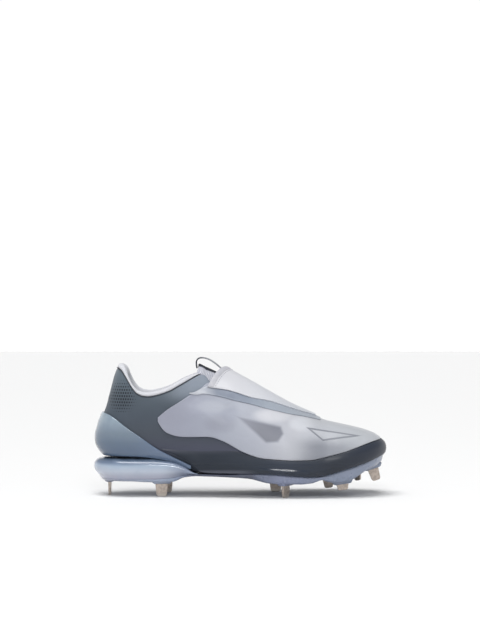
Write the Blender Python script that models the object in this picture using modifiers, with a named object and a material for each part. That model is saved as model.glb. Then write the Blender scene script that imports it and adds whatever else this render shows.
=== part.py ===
"""A right baseball cleat with nine metal blades and a strap-like cover over the instep.

Toe towards +X, outer side towards -Y, up +Z, metres, standing on the tips of five blades at z = 0.
Every curved piece comes from one surface function, surface(), which is worked out from the length,
the ball width, the instep height and the short tables below.
"""

import math

import bmesh
import bpy
from mathutils import Matrix, Vector

# Main sizes of the shoe
LENGTH = 0.295
BALL_WIDTH = 0.100
INSTEP_HEIGHT = 0.129

# Shared sizes of the pieces
MM = 0.001
GAP = 0.4 * MM
WALL = 1.8 * MM
VAMP_THICK = 0.8 * MM
VAMP_GAP = 0.7 * MM
SIDEWALL_THICK = 1.8 * MM
COUNTER_THICK = 1.9 * MM
COVER_THICK = 1.5 * MM
TONGUE_THICK = 4.0 * MM
LOOP_THICK = 1.3 * MM
LOOP_WIDTH = 12.0 * MM
LOOP_SIDE = -0.020 * BALL_WIDTH
BLADE_THICK = 2.8 * MM
BLADE_TAPER = 1.0 * MM
BLADE_EDGE = 0.5 * MM
HOUSING_DROP = 2.0 * MM
HOUSING_SINK = 2.2 * MM
HOUSING_HALF = 6.0 * MM
HOUSING_FLARE = 2.3 * MM

# The heel and the toe turn round upright axes at these places
HEEL_X = 0.1356 * LENGTH
TOE_X = 0.7966 * LENGTH
TOE_REACH = 0.1949 * LENGTH
HEEL_SQUARE = 2.1
TOE_SQUARE = 2.15
TOE_SLOPE = 0.50
TOE_ROUND = 8.0

# Where on its arc the wall starts at its bottom edge, degrees from level
WALL_START = 42.0

# Share of one side's columns that the toe takes, and where the heel starts
TOE_END = 0.247
HEEL_START = 0.827
TOE_COLUMNS = 8
SIDE_COLUMNS = 18
HEEL_COLUMNS = 7

# Smallest step between two columns, and how far under the upper's top edge the pieces on it end
COLUMN_STEP = 0.004
EDGE_CLEAR = 0.03

MIDDLE = 0.5
EPS = 1e-4


def table(names, *rows):
    """Columns of a table, by name."""
    return {name: [row[i] for row in rows] for i, name in enumerate(names.split())}


# at: share of LENGTH. swing, lateral, medial: centre line and half widths, shares of BALL_WIDTH.
# tuck: width at the bottom edge over the widest. feather, widest, ridge: heights, shares of
# INSTEP_HEIGHT. slope and round: how the section falls from its ridge to its widest place.
SECTIONS = table(
    "at swing lateral medial tuck feather widest ridge slope round",
    (0.1356, 0.000, 0.335, 0.335, 0.80, 0.3039, 0.4496, 1.380, 0.05, 3.2),
    (0.2034, 0.000, 0.344, 0.336, 0.80, 0.3016, 0.4419, 1.240, 0.06, 3.0),
    (0.2712, -0.005, 0.346, 0.328, 0.82, 0.2744, 0.4186, 1.140, 0.08, 2.8),
    (0.3119, -0.010, 0.348, 0.322, 0.84, 0.2372, 0.4031, 1.085, 0.10, 2.7),
    (0.3525, -0.015, 0.356, 0.322, 0.86, 0.1907, 0.3798, 1.039, 0.12, 2.6),
    (0.4000, -0.020, 0.374, 0.334, 0.88, 0.1829, 0.3605, 1.004, 0.14, 2.5),
    (0.4542, -0.020, 0.402, 0.358, 0.89, 0.1822, 0.3411, 0.957, 0.15, 2.5),
    (0.5322, -0.015, 0.444, 0.400, 0.90, 0.1814, 0.3178, 0.860, 0.15, 2.5),
    (0.6102, -0.005, 0.486, 0.446, 0.91, 0.1767, 0.2984, 0.764, 0.14, 2.5),
    (0.6881, 0.010, 0.510, 0.478, 0.92, 0.1643, 0.2829, 0.671, 0.12, 2.6),
    (0.7424, 0.025, 0.510, 0.484, 0.92, 0.1566, 0.2752, 0.620, 0.12, 2.6),
    (0.7966, 0.040, 0.496, 0.474, 0.92, 0.1752, 0.2791, 0.568, 0.12, 2.6),
    (0.8644, 0.040, 0.496, 0.474, 0.92, 0.2217, 0.3101, 0.568, 0.12, 2.6),
    (0.9322, 0.040, 0.496, 0.474, 0.92, 0.2651, 0.3450, 0.568, 0.12, 2.6),
    (1.0000, 0.040, 0.496, 0.474, 0.92, 0.2984, 0.3643, 0.568, 0.12, 2.6),
)

# Top edge of the upper round the ankle: share of LENGTH, share of INSTEP_HEIGHT
COLLAR = table(
    "at height",
    (0.0746, 1.002),
    (0.0847, 1.004),
    (0.0983, 0.988),
    (0.1119, 0.942),
    (0.1288, 0.876),
    (0.1475, 0.816),
    (0.1695, 0.792),
    (0.1898, 0.788),
    (0.2169, 0.798),
    (0.2644, 0.834),
    (0.2949, 0.874),
    (0.3390, 0.925),
    (0.3695, 0.950),
    (0.3864, 0.938),
)

# Back of the heel: share of INSTEP_HEIGHT, reach behind HEEL_X as a share of LENGTH
HEEL_BACK = table(
    "at reach",
    (0.2946, 0.0847),
    (0.3256, 0.0997),
    (0.3488, 0.1092),
    (0.3798, 0.1186),
    (0.4186, 0.1254),
    (0.4651, 0.1254),
    (0.5271, 0.1193),
    (0.5891, 0.1115),
    (0.6512, 0.1003),
    (0.7132, 0.0912),
    (0.7752, 0.0847),
    (0.8527, 0.0753),
    (0.9302, 0.0664),
    (0.9767, 0.0583),
    (1.0233, 0.0508),
)

# Half width of the throat, a share of BALL_WIDTH
THROAT = table(
    "at half",
    (0.3797, 0.175),
    (0.4542, 0.160),
    (0.5322, 0.145),
    (0.6102, 0.125),
    (0.6780, 0.085),
    (0.7051, 0.050),
    (0.7232, 0.000),
)

# Lower and upper edges of the pieces that lie on the upper, shares of INSTEP_HEIGHT
SIDEWALL = table(
    "at low high",
    (0.2339, 0.3674, 0.3767),
    (0.2712, 0.338, 0.372),
    (0.3322, 0.268, 0.368),
    (0.3525, 0.225, 0.367),
    (0.3661, 0.202, 0.367),
    (0.4237, 0.194, 0.374),
    (0.4712, 0.194, 0.372),
    (0.5085, 0.194, 0.347),
    (0.5797, 0.192, 0.302),
    (0.6881, 0.176, 0.288),
    (0.7322, 0.168, 0.289),
    (0.7797, 0.179, 0.309),
    (0.8136, 0.199, 0.326),
    (0.8576, 0.230, 0.353),
    (0.9051, 0.260, 0.388),
    (0.9559, 0.291, 0.419),
    (1.0000, 0.310, 0.432),
)
COUNTER = table(
    "at low high",
    (0.0000, 0.322, 0.651),
    (0.0397, 0.322, 0.636),
    (0.1390, 0.321, 0.505),
    (0.2220, 0.318, 0.376),
    (0.2712, 0.294, 0.318),
    (0.3108, 0.260, 0.275),
    (0.3356, 0.240, 0.249),
)
VAMP = table(
    "at low high",
    (0.2220, 0.589, 0.616),
    (0.2339, 0.539, 0.640),
    (0.2519, 0.499, 0.674),
    (0.3007, 0.469, 0.744),
    (0.3288, 0.467, 0.787),
    (0.3831, 0.469, 0.872),
    (0.4000, 0.467, 1.085),
    (0.4407, 0.439, 1.085),
    (0.4746, 0.400, 1.085),
    (0.5105, 0.3550, 1.085),
    (0.5797, 0.3080, 1.085),
    (0.6881, 0.2940, 1.085),
    (0.7322, 0.2950, 1.085),
    (0.7797, 0.3142, 1.085),
    (0.8136, 0.3320, 1.085),
    (0.8576, 0.3584, 1.085),
    (0.9051, 0.3940, 1.085),
    (0.9559, 0.4243, 1.085),
    (1.0000, 0.4374, 1.085),
)

# Sole plate: half widths are shares of BALL_WIDTH, heights of its two faces of INSTEP_HEIGHT
PLATE = table(
    "at lateral medial top under",
    (0.1356, 0.295, 0.295, 0.1395, 0.1186),
    (0.1898, 0.300, 0.295, 0.1395, 0.1132),
    (0.2712, 0.300, 0.284, 0.1512, 0.1163),
    (0.3119, 0.305, 0.280, 0.1705, 0.1519),
    (0.3525, 0.315, 0.280, 0.1806, 0.1612),
    (0.4000, 0.335, 0.286, 0.1798, 0.1597),
    (0.4542, 0.365, 0.315, 0.1791, 0.1566),
    (0.5322, 0.410, 0.368, 0.1783, 0.1465),
    (0.5627, 0.428, 0.390, 0.1775, 0.1302),
    (0.5966, 0.445, 0.410, 0.1752, 0.1132),
    (0.6441, 0.464, 0.438, 0.1690, 0.1062),
    (0.6983, 0.476, 0.450, 0.1600, 0.1062),
    (0.7390, 0.476, 0.452, 0.1530, 0.1132),
    (0.7593, 0.474, 0.450, 0.1519, 0.1271),
    (0.7729, 0.472, 0.448, 0.1550, 0.1380),
    (0.7898, 0.466, 0.444, 0.1643, 0.1271),
    (0.8136, 0.464, 0.442, 0.1829, 0.1147),
    (0.8542, 0.464, 0.442, 0.2110, 0.1163),
    (0.8814, 0.464, 0.442, 0.2290, 0.1357),
    (0.9017, 0.464, 0.442, 0.2420, 0.1597),
    (0.9220, 0.464, 0.442, 0.2550, 0.1907),
    (0.9492, 0.464, 0.442, 0.2710, 0.2171),
    (1.0000, 0.464, 0.442, 0.2930, 0.2560),
)
PLATE_HEEL_REACH = 0.1102 * LENGTH
PLATE_TOE_REACH = 0.1915 * LENGTH

# Heel cushion: half widths, then its round side as shares of its height and of its reach
CUSHION = table(
    "at lateral medial",
    (0.1356, 0.366, 0.366),
    (0.2034, 0.372, 0.362),
    (0.2712, 0.370, 0.352),
    (0.3119, 0.366, 0.344),
    (0.3424, 0.362, 0.336),
)
CUSHION_SIDE = ((0.00, 0.82), (0.13, 0.87), (0.28, 0.945), (0.42, 0.99), (0.56, 1.0),
                (0.70, 0.99), (0.83, 0.955), (0.94, 0.87), (1.00, 0.72))
CUSHION_REACH = 0.1356 * LENGTH
CUSHION_END = 0.3424

# Top of the insole, a share of INSTEP_HEIGHT
INSOLE = table(
    "at top",
    (0.0339, 0.345),
    (0.1695, 0.341),
    (0.2712, 0.322),
    (0.3525, 0.283),
    (0.4407, 0.252),
    (0.5424, 0.231),
    (0.6780, 0.213),
    (0.7525, 0.209),
    (0.7966, 0.222),
    (0.8475, 0.255),
    (0.9322, 0.303),
    (1.0000, 0.335),
)

# Cover over the instep: half width, then height of its ridge, from its rear hem to its front
COVER = table(
    "at half ridge",
    (0.4000, 0.252, 1.075),
    (0.4542, 0.265, 1.000),
    (0.5322, 0.268, 0.902),
    (0.6102, 0.214, 0.801),
    (0.6780, 0.165, 0.716),
    (0.7593, 0.072, 0.632),
)
COVER_REAR = 0.4542 * LENGTH
COVER_FRONT = 0.7593 * LENGTH
COVER_SLANT = 0.0542 * LENGTH
COVER_LIFT = 3.4 * MM

# Padded ring inside the collar: its front ends, and how it thins out towards them
LINING_FRONT = 0.3661 * LENGTH
LINING_TAPER = 0.0610 * LENGTH
LINING_THIN = 0.65
LINING_GAP = 0.7 * MM
LINING_DEEP = 0.248 * INSTEP_HEIGHT

# Tongue: height of its middle and its half width, from its free top to its front
TONGUE = table(
    "at top half",
    (0.3593, 1.020, 0.130),
    (0.3932, 0.989, 0.135),
    (0.4170, 0.960, 0.135),
    (0.4542, 0.918, 0.175),
    (0.5085, 0.845, 0.210),
    (0.6102, 0.722, 0.210),
    (0.7051, 0.610, 0.180),
)
TONGUE_FRONT = 0.7051 * LENGTH
TONGUE_TOP = 0.3593 * LENGTH
TONGUE_FREE = 0.3797 * LENGTH
TONGUE_HOLD = 0.0339 * LENGTH
TONGUE_ARCH = 2.2 / BALL_WIDTH
TONGUE_GAP = 0.9 * MM
TONGUE_LEAN = 3.0 * MM
TONGUE_LEAN_START = 0.3390 * LENGTH
TONGUE_LEAN_RUN = 0.0678 * LENGTH

# Pull loop, a side view of its path: shares of LENGTH and of INSTEP_HEIGHT
LOOP_PATH = ((0.3505, 0.990), (0.3485, 1.028), (0.3500, 1.050), (0.3565, 1.062), (0.3660, 1.066),
             (0.3810, 1.062), (0.3990, 1.044), (0.4150, 1.016), (0.4290, 0.984))

# Blades: name, place along as a share of LENGTH, place across and length as shares of BALL_WIDTH,
# height of the tip as a share of INSTEP_HEIGHT, turn and lean in degrees
BLADES = (
    ("spike_heel_rear", 0.0542, 0.000, 0.145, 0.0, 90.0, 0.0),
    ("spike_heel_lateral", 0.2336, -0.210, 0.125, 0.0, 8.0, 0.0),
    ("spike_heel_medial", 0.2458, 0.215, 0.125, 0.0, -8.0, 0.0),
    ("spike_ball_lateral", 0.6529, -0.335, 0.125, 0.0, 58.0, 0.0),
    ("spike_ball_medial", 0.6231, 0.325, 0.125, 0.0, -12.0, 0.0),
    ("spike_fore_lateral", 0.8441, -0.290, 0.125, 0.0558, 6.0, 8.0),
    ("spike_fore_medial", 0.8034, 0.290, 0.110, 0.0318, -10.0, 6.0),
    ("spike_toe_medial", 0.9017, 0.225, 0.090, 0.0950, -35.0, 12.0),
    ("spike_toe_lateral", 0.9508, -0.060, 0.110, 0.1163, 8.0, 18.0),
)


def smooth(share):
    """0 to 1 with level ends."""
    share = min(max(share, 0.0), 1.0)
    return share * share * (3 - 2 * share)


def value(columns, name, at):
    """A column read at a share of the length, along a curve that never overshoots its rows."""
    xs = columns["at"]
    ys = columns[name]
    if at <= xs[0]:
        return ys[0]
    if at >= xs[-1]:
        return ys[-1]
    i = max(k for k in range(len(xs) - 1) if xs[k] <= at)
    steps = [(ys[k + 1] - ys[k]) / (xs[k + 1] - xs[k]) for k in range(len(xs) - 1)]

    def tangent(k):
        if k == 0:
            return steps[0]
        if k == len(xs) - 1:
            return steps[-1]
        if steps[k - 1] * steps[k] <= 0:
            return 0.0
        return 2 * steps[k - 1] * steps[k] / (steps[k - 1] + steps[k])

    width = xs[i + 1] - xs[i]
    u = (at - xs[i]) / width
    start = ys[i] * (1 + 2 * u) * (1 - u) ** 2 + tangent(i) * width * u * (1 - u) ** 2
    return start + ys[i + 1] * u * u * (3 - 2 * u) + tangent(i + 1) * width * u * u * (u - 1)


def side_of(c):
    return -1 if c <= MIDDLE else 1


def side_name(c):
    return "lateral" if c <= MIDDLE else "medial"


def place(c):
    """What a place round the outline is: the stretch, its angle and its x.

    c runs from the tip of the toe (0) down the outer side to the back of the heel (0.5) and up
    the inner side to the tip (1).
    """
    g = min(c, 1 - c) / MIDDLE
    if g < TOE_END:
        return "toe", (1 - g / TOE_END) * math.pi / 2, TOE_X
    if g > HEEL_START:
        return "heel", (g - HEEL_START) / (1 - HEEL_START) * math.pi / 2, HEEL_X
    share = (g - TOE_END) / (HEEL_START - TOE_END)
    return "side", 0.0, TOE_X + (HEEL_X - TOE_X) * share


def column_at(x, side=-1):
    """The place round the outline that stands at x on one side."""
    share = (TOE_X - x) / (TOE_X - HEEL_X)
    c = (TOE_END + share * (HEEL_START - TOE_END)) * MIDDLE
    return c if side < 0 else 1 - c


def turn(angle, square):
    """Forward and sideways parts of a squared-off circle."""
    power = 2 / square
    return max(math.sin(angle), 0.0) ** power, max(math.cos(angle), 0.0) ** power


def surface(c, t):
    """Outside of the upper: t is 0 at its bottom edge, 1 at its widest and 2 on its ridge."""
    stretch, angle, x = place(c)
    square = TOE_SQUARE if stretch == "toe" else HEEL_SQUARE
    forward, sideways = turn(angle, square)
    at = x / LENGTH
    low = (x + TOE_REACH * forward) / LENGTH if stretch == "toe" else at
    feather = value(SECTIONS, "feather", low) * INSTEP_HEIGHT
    widest = value(SECTIONS, "widest", low) * INSTEP_HEIGHT
    half = value(SECTIONS, side_name(c), at) * BALL_WIDTH
    swing = value(SECTIONS, "swing", at) * BALL_WIDTH
    if t <= 1:
        tuck = value(SECTIONS, "tuck", at)
        start = math.radians(WALL_START)
        turned = start + (math.pi / 2 - start) * t
        reach = tuck + (1 - tuck) * (math.sin(turned) - math.sin(start)) / (1 - math.sin(start))
        z = feather + (widest - feather) * (1 - math.cos(turned) / math.cos(start))
    else:
        slope = value(SECTIONS, "slope", at)
        rounding = value(SECTIONS, "round", at)
        if stretch == "toe":
            front = math.sin(angle) ** 2
            slope += (TOE_SLOPE - slope) * front
            rounding += (TOE_ROUND - rounding) * front
        reach = math.cos(min(t - 1, 1.0) * math.pi / 2)
        rise = (1 - slope * reach) * math.sqrt(max(1 - reach ** rounding, 0.0))
        z = widest + (value(SECTIONS, "ridge", at) * INSTEP_HEIGHT - widest) * rise
    if stretch == "toe":
        return Vector((x + TOE_REACH * forward * reach, swing + side_of(c) * half * sideways * reach, z))
    if stretch == "heel":
        back = value(HEEL_BACK, "reach", z / INSTEP_HEIGHT) * LENGTH
        return Vector((x - back * forward, side_of(c) * half * sideways * reach, z))
    return Vector((x, swing + side_of(c) * half * reach, z))


def skin(c, t, out=0.0):
    """A point at a distance outside the upper's surface, square to it."""
    point = surface(c, t)
    if out == 0.0:
        return point
    if t > 2 - EPS:
        x = min(point.x, TOE_X - 0.006) / LENGTH
        rise = value(SECTIONS, "ridge", x + 0.01) - value(SECTIONS, "ridge", x - 0.01)
        normal = Vector((-rise * INSTEP_HEIGHT, 0, 0.02 * LENGTH))
        return point + normal.normalized() * out
    around = surface(min(c + EPS, 1), t) - surface(max(c - EPS, 0), t)
    upward = surface(c, min(t + EPS, 2)) - surface(c, max(t - EPS, 0))
    normal = upward.cross(around)
    if c < EPS or c > 1 - EPS:
        normal.y = 0
    return point + normal.normalized() * out


def level_at(c, height):
    """The t at which the surface reaches a height."""
    low, high = 0.0, 2.0
    for _ in range(30):
        t = (low + high) / 2
        if surface(c, t).z < height:
            low = t
        else:
            high = t
    return (low + high) / 2


def top_level(c):
    """The t of the upper's top edge: the collar, then the throat, then the closed ridge."""
    stretch, _, x = place(c)
    if stretch == "toe" or x / LENGTH >= THROAT["at"][-1] - EPS:
        return 2.0
    if stretch == "side" and x / LENGTH > COLLAR["at"][-1]:
        half = value(SECTIONS, side_name(c), x / LENGTH)
        return 1 + math.acos(value(THROAT, "half", x / LENGTH) / half) * 2 / math.pi
    low, high = 1.0, 2.0
    for _ in range(30):
        t = (low + high) / 2
        point = surface(c, t)
        if point.z < value(COLLAR, "height", point.x / LENGTH) * INSTEP_HEIGHT:
            low = t
        else:
            high = t
    return low


def spread(first, last, count):
    return [first + (last - first) * i / count for i in range(count + 1)]


def even_levels(c, low, high, count):
    """Levels from low to high that stand equally far apart along the wall."""
    samples = spread(low, high, 48)
    points = [surface(c, t) for t in samples]
    run = [0.0]
    for before, after in zip(points, points[1:]):
        run.append(run[-1] + (after - before).length)
    levels = [low]
    k = 0
    for i in range(1, count):
        goal = run[-1] * i / count
        while run[k + 1] < goal:
            k += 1
        part = (goal - run[k]) / (run[k + 1] - run[k])
        levels.append(samples[k] + (samples[k + 1] - samples[k]) * part)
    return levels + [high]


def half_columns():
    """Places from the tip of the toe to the back of the heel."""
    toe = spread(0.0, TOE_END, TOE_COLUMNS)
    side = spread(TOE_END, HEEL_START, SIDE_COLUMNS)[1:]
    heel = spread(HEEL_START, 1.0, HEEL_COLUMNS)[1:]
    return [g * MIDDLE for g in toe + side + heel]


def both_sides(columns):
    """The same places on both sides, toe to heel to toe."""
    return columns + [1 - c for c in reversed(columns) if c < MIDDLE - EPS]


def material(name, colour, rough, metal=0.0):
    made = bpy.data.materials.new(name)
    made.use_nodes = True
    shader = made.node_tree.nodes["Principled BSDF"]
    shader.inputs["Base Color"].default_value = (*colour, 1.0)
    shader.inputs["Roughness"].default_value = rough
    shader.inputs["Metallic"].default_value = metal
    made.diffuse_color = (*colour, 1.0)
    return made


def add(name, points, faces, paint, into, closed=False):
    """One named mesh object, its doubled points merged."""
    mesh = bpy.data.meshes.new(name)
    mesh.from_pydata([tuple(p) for p in points], [], faces)
    work = bmesh.new()
    work.from_mesh(mesh)
    bmesh.ops.remove_doubles(work, verts=work.verts, dist=1e-6)
    bmesh.ops.dissolve_degenerate(work, edges=work.edges, dist=1e-7)
    if closed:
        bmesh.ops.recalc_face_normals(work, faces=work.faces)
        if work.calc_volume(signed=True) < 0:
            bmesh.ops.reverse_faces(work, faces=work.faces)
    for face in work.faces:
        face.smooth = True
    work.to_mesh(mesh)
    work.free()
    obj = bpy.data.objects.new(name, mesh)
    if paint:
        mesh.materials.append(paint)
    into.objects.link(obj)
    return obj


def thicken(obj, thickness):
    solid = obj.modifiers.new("wall", "SOLIDIFY")
    solid.thickness = thickness
    solid.offset = -1
    return obj


def grid_faces(wide, high):
    """Quads over a grid of points stored column by column, facing outwards on surface()."""
    return [
        (i * high + j, i * high + j + 1, (i + 1) * high + j + 1, (i + 1) * high + j)
        for i in range(wide - 1)
        for j in range(high - 1)
    ]


def sheet(name, columns, levels, out, thickness, paint, into):
    """A piece that lies on the upper: an open surface between two edges, given its thickness."""
    points = []
    for c in columns:
        points += [skin(c, t, out(i / (len(levels(c)) - 1)) + thickness) for i, t in enumerate(levels(c))]
    faces = grid_faces(len(columns), len(levels(columns[0])))
    return thicken(add(name, points, faces, paint, into), thickness)


def loft(name, rings, paint, into, caps=True):
    """A closed piece through rings of equally many points."""
    count = len(rings[0])
    points = [p for ring in rings for p in ring]
    faces = []
    for i in range(len(rings) - 1):
        for j in range(count):
            k = (j + 1) % count
            faces.append((i * count + j, i * count + k, (i + 1) * count + k, (i + 1) * count + j))
    if caps:
        faces.append(tuple(range(count)))
        faces.append(tuple((len(rings) - 1) * count + j for j in range(count)))
    return add(name, points, faces, paint, into, closed=True)


def over(x, y):
    """Height of the upper's closed form above a place on the plan, away from heel and toe."""
    at = x / LENGTH
    across = y - value(SECTIONS, "swing", at) * BALL_WIDTH
    half = value(SECTIONS, "lateral" if across < 0 else "medial", at) * BALL_WIDTH
    share = min(abs(across) / half, 1.0)
    widest = value(SECTIONS, "widest", at)
    slope = value(SECTIONS, "slope", at)
    rise = (1 - slope * share) * math.sqrt(1 - share ** value(SECTIONS, "round", at))
    return (widest + (value(SECTIONS, "ridge", at) - widest) * rise) * INSTEP_HEIGHT


def beneath(x, y, depth):
    """Height of a surface this far under the upper's closed form, measured square to it."""
    along = (over(x + MM, y) - over(x - MM, y)) / (2 * MM)
    across = (over(x, y + MM) - over(x, y - MM)) / (2 * MM)
    return over(x, y) - depth * math.sqrt(1 + along * along + across * across)


def upper_levels(c):
    return even_levels(c, 0.0, top_level(c), 12)


def edge_levels(columns_table, count):
    """Levels between a table's lower and upper edges, held under the upper's own top edge."""

    def levels(c):
        at = surface(c, 1.0).x / LENGTH
        low = level_at(c, value(columns_table, "low", at) * INSTEP_HEIGHT)
        high = level_at(c, value(columns_table, "high", at) * INSTEP_HEIGHT)
        top = top_level(c)
        if top < 2:
            top -= EDGE_CLEAR
        return even_levels(c, low, min(high, top), count)

    return levels


def outline(c, columns, heel_reach, toe_reach, inset=0.0):
    """A place on the edge of a flat piece with its own table of half widths."""
    stretch, angle, x = place(c)
    forward, sideways = turn(angle, TOE_SQUARE if stretch == "toe" else HEEL_SQUARE)
    half = value(columns, side_name(c), x / LENGTH) * BALL_WIDTH - inset
    swing = value(SECTIONS, "swing", x / LENGTH) * BALL_WIDTH
    if stretch == "toe":
        x += (toe_reach - inset) * forward
    if stretch == "heel":
        x -= (heel_reach - inset) * forward
    return Vector((x, swing + side_of(c) * half * sideways, 0))


def raised(point, z):
    return Vector((point.x, point.y, z))


def make_upper(paint, into):
    columns = both_sides(half_columns())
    return sheet("upper", columns, upper_levels, lambda share: -WALL, WALL, paint, into)


def make_sidewall(paint, into):
    start = column_at(SIDEWALL["at"][0] * LENGTH)
    columns = both_sides([c for c in half_columns() if c < start - COLUMN_STEP] + [start])
    halves = len(columns) // 2
    levels = edge_levels(SIDEWALL, 5)
    lateral, medial = columns[:halves], columns[halves:]
    ordered = medial + lateral[1:]
    return sheet(
        "sidewall",
        ordered,
        levels,
        lambda share: GAP + 0.5 * MM * math.sin(math.pi * share),
        SIDEWALL_THICK,
        paint,
        into,
    )


def make_vamp(paint, into):
    start = column_at(VAMP["at"][0] * LENGTH)
    columns = both_sides([c for c in half_columns() if c < start - COLUMN_STEP] + [start])
    halves = len(columns) // 2
    ordered = columns[halves:] + columns[1:halves]
    levels = edge_levels(VAMP, 8)
    return sheet("vamp_layer", ordered, levels, lambda share: VAMP_GAP, VAMP_THICK, paint, into)


def make_counter(paint, into):
    start = column_at(COUNTER["at"][-1] * LENGTH)
    columns = both_sides([start] + [c for c in half_columns() if c > start + COLUMN_STEP])
    levels = edge_levels(COUNTER, 8)
    return sheet("heel_counter", columns, levels, lambda share: GAP, COUNTER_THICK, paint, into)


def make_lining(paint, into):
    """A padded ring inside the collar, rolled over the upper's top edge."""
    columns = both_sides([c for c in half_columns() if c > column_at(LINING_FRONT)])
    rings = []
    for c in columns:
        pad = 1 - LINING_THIN * smooth((surface(c, 1.0).x - LINING_FRONT + LINING_TAPER) / LINING_TAPER)
        top = top_level(c)
        low = level_at(c, surface(c, top).z - LINING_DEEP)
        edge = skin(c, top)
        inward = (skin(c, top, -MM) - edge) / MM
        inward.z = 0
        inward.normalize()
        rings.append([
            *[skin(c, low + (top - low) * share, -WALL - LINING_GAP) for share in (0, 0.25, 0.5, 0.75, 1)],
            skin(c, top, -WALL - LINING_GAP) + Vector((0, 0, 2 * GAP)),
            edge + inward * 0.3 * MM + Vector((0, 0, 2 * GAP)),
            edge + inward * 0.9 * MM + Vector((0, 0, 2 * GAP + 1.2 * MM * pad)),
            edge + inward * (WALL + 1.6 * MM * pad) + Vector((0, 0, 2 * GAP + 1.8 * MM * pad)),
            edge + inward * (WALL + 4.2 * MM * pad) + Vector((0, 0, 0.4 * MM)),
            skin(c, (low + top) / 2, -WALL - GAP - 4.4 * MM * pad),
            skin(c, low, -WALL - GAP - 1.2 * MM * pad),
        ])
    return loft("collar_lining", rings, paint, into)


def make_tongue(paint, into):
    """Follows the foot under the throat and stands free above the collar."""
    points = []
    stations = spread(TONGUE_FRONT, TONGUE_TOP, 13)
    across = spread(-1.0, 1.0, 8)
    for x in stations:
        at = x / LENGTH
        half = value(TONGUE, "half", at) * BALL_WIDTH
        middle = value(SECTIONS, "swing", at) * BALL_WIDTH
        hold = smooth((x - TONGUE_FREE) / TONGUE_HOLD)
        for w in across:
            y = half * w
            z = value(TONGUE, "top", at) * INSTEP_HEIGHT - TONGUE_ARCH * y * y
            under = beneath(x, middle + y, WALL + TONGUE_GAP)
            z += (min(z, under) - z) * hold
            lean = TONGUE_LEAN * w * w * (1 - smooth((x - TONGUE_LEAN_START) / TONGUE_LEAN_RUN))
            points.append(Vector((x - lean, middle + y, z)))
    faces = grid_faces(len(stations), len(across))
    return thicken(add("tongue", points, faces, paint, into), TONGUE_THICK)


def make_loop(paint, into):
    """A ribbon bent over the tongue, both ends against it."""
    points = []
    for at, height in LOOP_PATH:
        for y in (-LOOP_WIDTH / 2, LOOP_WIDTH / 2):
            points.append(Vector((at * LENGTH, y + LOOP_SIDE, height * INSTEP_HEIGHT)))
    obj = add("pull_loop", points, grid_faces(len(LOOP_PATH), 2), paint, into)
    round_off = obj.modifiers.new("bends", "SUBSURF")
    round_off.subdivision_type = "SIMPLE"
    round_off.levels = 1
    round_off.render_levels = 1
    return thicken(obj, LOOP_THICK)


def make_cover(paint, into):
    """A flat strap-like sheet pulled over the instep, with a slanting rear hem."""
    points = []
    across = spread(-1.0, 1.0, 10)
    along = spread(0.0, 1.0, 12)
    for share in along:
        for w in across:
            rear = COVER_REAR - COVER_SLANT * abs(w) ** 1.2
            x = COVER_FRONT + (rear - COVER_FRONT) * share
            at = x / LENGTH
            middle = value(SECTIONS, "swing", at) * BALL_WIDTH
            half = value(COVER, "half", at) * BALL_WIDTH
            edge = beneath(x, middle + half * (-1 if w < 0 else 1), -COVER_LIFT)
            ridge = value(COVER, "ridge", at) * INSTEP_HEIGHT
            z = edge + (ridge - edge) * (1 - abs(w) ** 1.7)
            clear = beneath(x, middle + half * w, -COVER_LIFT)
            points.append(Vector((x, middle + half * w, max(z, clear))))
    return thicken(add("cover", points, grid_faces(len(along), len(across)), paint, into), COVER_THICK)


def flat_ring(c, columns, heel_reach, toe_reach, steps):
    """One closed section of a flat piece: steps are (inset, height), top edge first."""
    lateral = [raised(outline(c, columns, heel_reach, toe_reach, inset), z) for inset, z in steps]
    medial = [raised(outline(1 - c, columns, heel_reach, toe_reach, inset), z) for inset, z in steps]
    under = (lateral[-1] + medial[-1]) / 2
    top = (lateral[0] + medial[0]) / 2
    return lateral + [under] + medial[::-1] + [top]


def make_plate(paint, into, cutters):
    """The sole plate with its two lobes, its arch and a housing for each blade."""
    heel = [g * MIDDLE for g in spread(1.0, HEEL_START, 6)]
    side = [column_at(at * LENGTH) for at in PLATE["at"][1:] if at * LENGTH < TOE_X - 1.5 * MM]
    toe = [g * MIDDLE for g in spread(TOE_END, 0.0, 9)]
    rings = []
    for c in heel + side + toe:
        stretch, angle, x = place(c)
        if stretch == "toe":
            x += PLATE_TOE_REACH * turn(angle, TOE_SQUARE)[0]
        top = value(PLATE, "top", x / LENGTH) * INSTEP_HEIGHT
        under = value(PLATE, "under", x / LENGTH) * INSTEP_HEIGHT
        deep = top - under
        rings.append(flat_ring(c, PLATE, PLATE_HEEL_REACH, PLATE_TOE_REACH, (
            (0.8 * MM, top),
            (0.0, top - 0.25 * deep),
            (0.6 * MM, top - 0.6 * deep),
            (2.2 * MM, top - 0.9 * deep),
            (4.0 * MM, under),
        )))
    plate = loft("outsole_plate", rings, paint, into, caps=False)
    housings = [housing(x, y, long, turned, lean) for _, x, y, long, _, turned, lean in blades()]
    points = [p for ring in housings for p in ring[0]]
    faces = [tuple(k + 8 * i for k in face) for i, ring in enumerate(housings) for face in ring[1]]
    cutter = add("blade_housings", points, faces, None, cutters, closed=True)
    cutter.hide_render = True
    cutter.display_type = "WIRE"
    join = plate.modifiers.new("housings", "BOOLEAN")
    join.operation = "UNION"
    join.solver = "EXACT"
    join.object = cutter
    return plate


BOX_FACES = [(0, 1, 2, 3), (4, 7, 6, 5), (0, 4, 5, 1), (1, 5, 6, 2), (2, 6, 7, 3), (3, 7, 4, 0)]


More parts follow.
